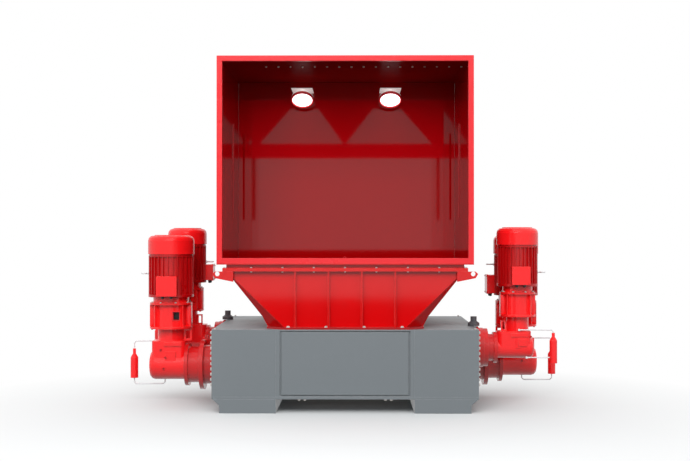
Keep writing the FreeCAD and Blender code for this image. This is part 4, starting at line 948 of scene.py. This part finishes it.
def addPlugs(settings):
    # Screw plugs on the faces of the castings; each place also has its twin half a turn round
    shape = bmesh.new()
    for letter, x, z in settings["places"]:
        casting = cadNodes["gearbox_" + letter]
        inverse = casting.matrix_world.inverted()
        start = inverse @ Vector((x, settings["start"], z))
        hit, place, normal = casting.ray_cast(start, inverse.to_3x3() @ Vector((0, 1, 0)))[:3]
        if not hit:
            continue
        place = casting.matrix_world @ place
        normal = casting.matrix_world.to_3x3() @ normal
        addSocketScrew(shape, place, normal, settings["size"])
        addSocketScrew(shape, (-place.x, -place.y, place.z), (-normal.x, -normal.y, normal.z),
                       settings["size"])
    keepPiece("gearbox_plugs", shape, "motorPaint")


addLanternDetails(lanternSettings)
addPlugs(plugSettings)


# Fan guards: rings and spokes on the flat top of each cowl, over a dark disc that is painted shade
# for the hollow under the guard
grilleSettings = {
    "rings": 5, "spokes": 16, "barWidth": 0.005, "proud": 0.006, "rimShare": 0.72,
    "hubShare": 0.2, "spokeShare": 0.8, "shadeDiscThickness": 0.0012,
}


def addGrilles(settings):
    bars = bmesh.new()
    wellShade = bmesh.new()
    wide, tall = settings["barWidth"], settings["proud"]
    for letter in driveLetters:
        low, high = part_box("fan_cowl_" + letter)
        radius = (high.x - low.x) / 2 * settings["rimShare"]
        hub = radius * settings["hubShare"]
        place = Matrix.Translation((*motorAxis(letter), high.z))
        # Dark disc: painted shade under the guard
        addPrism(wellShade, place, 48, radius, settings["shadeDiscThickness"])
        for number in range(settings["rings"]):
            reach = radius * (number + 1) / settings["rings"]
            addTurned(bars, place, [
                (reach - wide, 0.0), (reach - wide, tall), (reach, tall), (reach, 0.0),
                (reach - wide, 0.0)], 48)
        for number in range(settings["spokes"]):
            turn = Matrix.Rotation(math.tau * number / settings["spokes"], 4, "Z")
            addBlock(bars, (hub, -wide / 2, 0.0),
                     (radius, wide / 2, tall * settings["spokeShare"]), matrix=place @ turn)
        addPrism(bars, place, 24, hub, tall)
    keepPiece("fan_grilles", bars, "drivePaint")
    keepPiece("fan_well_shade", wellShade, "darkRubberAndShade")


addGrilles(grilleSettings)


# Terminal boxes: lid screws and cable glands
terminalSettings = {
    "inner": {"wide": 0.188, "low": 1.056, "high": 1.240, "front": 0.303},
    "outer": {"wide": 0.163, "low": 1.178, "high": 1.340, "front": 0.277},
    "boxTurn": {"a": 0.0, "b": 0.0, "c": 90.0, "d": -90.0}, "screwIn": 0.012,
    "screwSize": 0.0055, "glandShare": 0.22, "glandBack": 0.042, "glandNut": 0.01,
    "glandRadius": 0.016, "glandLength": 0.0196,
}


def addTerminalDetails(settings):
    screws = bmesh.new()
    glands = bmesh.new()
    edge, nut, radius = settings["screwIn"], settings["glandNut"], settings["glandRadius"]
    for letter in driveLetters:
        box = settings["inner" if letter in innerDrives else "outer"]
        wide, low, high, front = box["wide"], box["low"], box["high"], box["front"]
        turn = Matrix.Translation((*motorAxis(letter), 0)) @ Matrix.Rotation(
            math.radians(settings["boxTurn"][letter]), 4, "Z")
        facing = turn.to_3x3() @ Vector((0, -1, 0))
        for x in (-wide / 2 + edge, wide / 2 - edge):
            for z in (low + edge, high - edge):
                addSocketScrew(screws, turn @ Vector((x, -front, z)), facing,
                               settings["screwSize"])
        for x in (-wide * settings["glandShare"], wide * settings["glandShare"]):
            matrix = turnTo(turn @ Vector((x, -front + settings["glandBack"], low)), (0, 0, -1))
            addPrism(glands, matrix, 6, radius * 1.15, nut)
            addPrism(glands, matrix, 16, radius, settings["glandLength"], radius * 0.75, lift=nut)
    keepPiece("terminal_screws", screws, "drivePaint")
    keepPiece("cable_glands", glands, "darkRubberAndShade")


addTerminalDetails(terminalSettings)
print("drives ready")

print("scene ready")
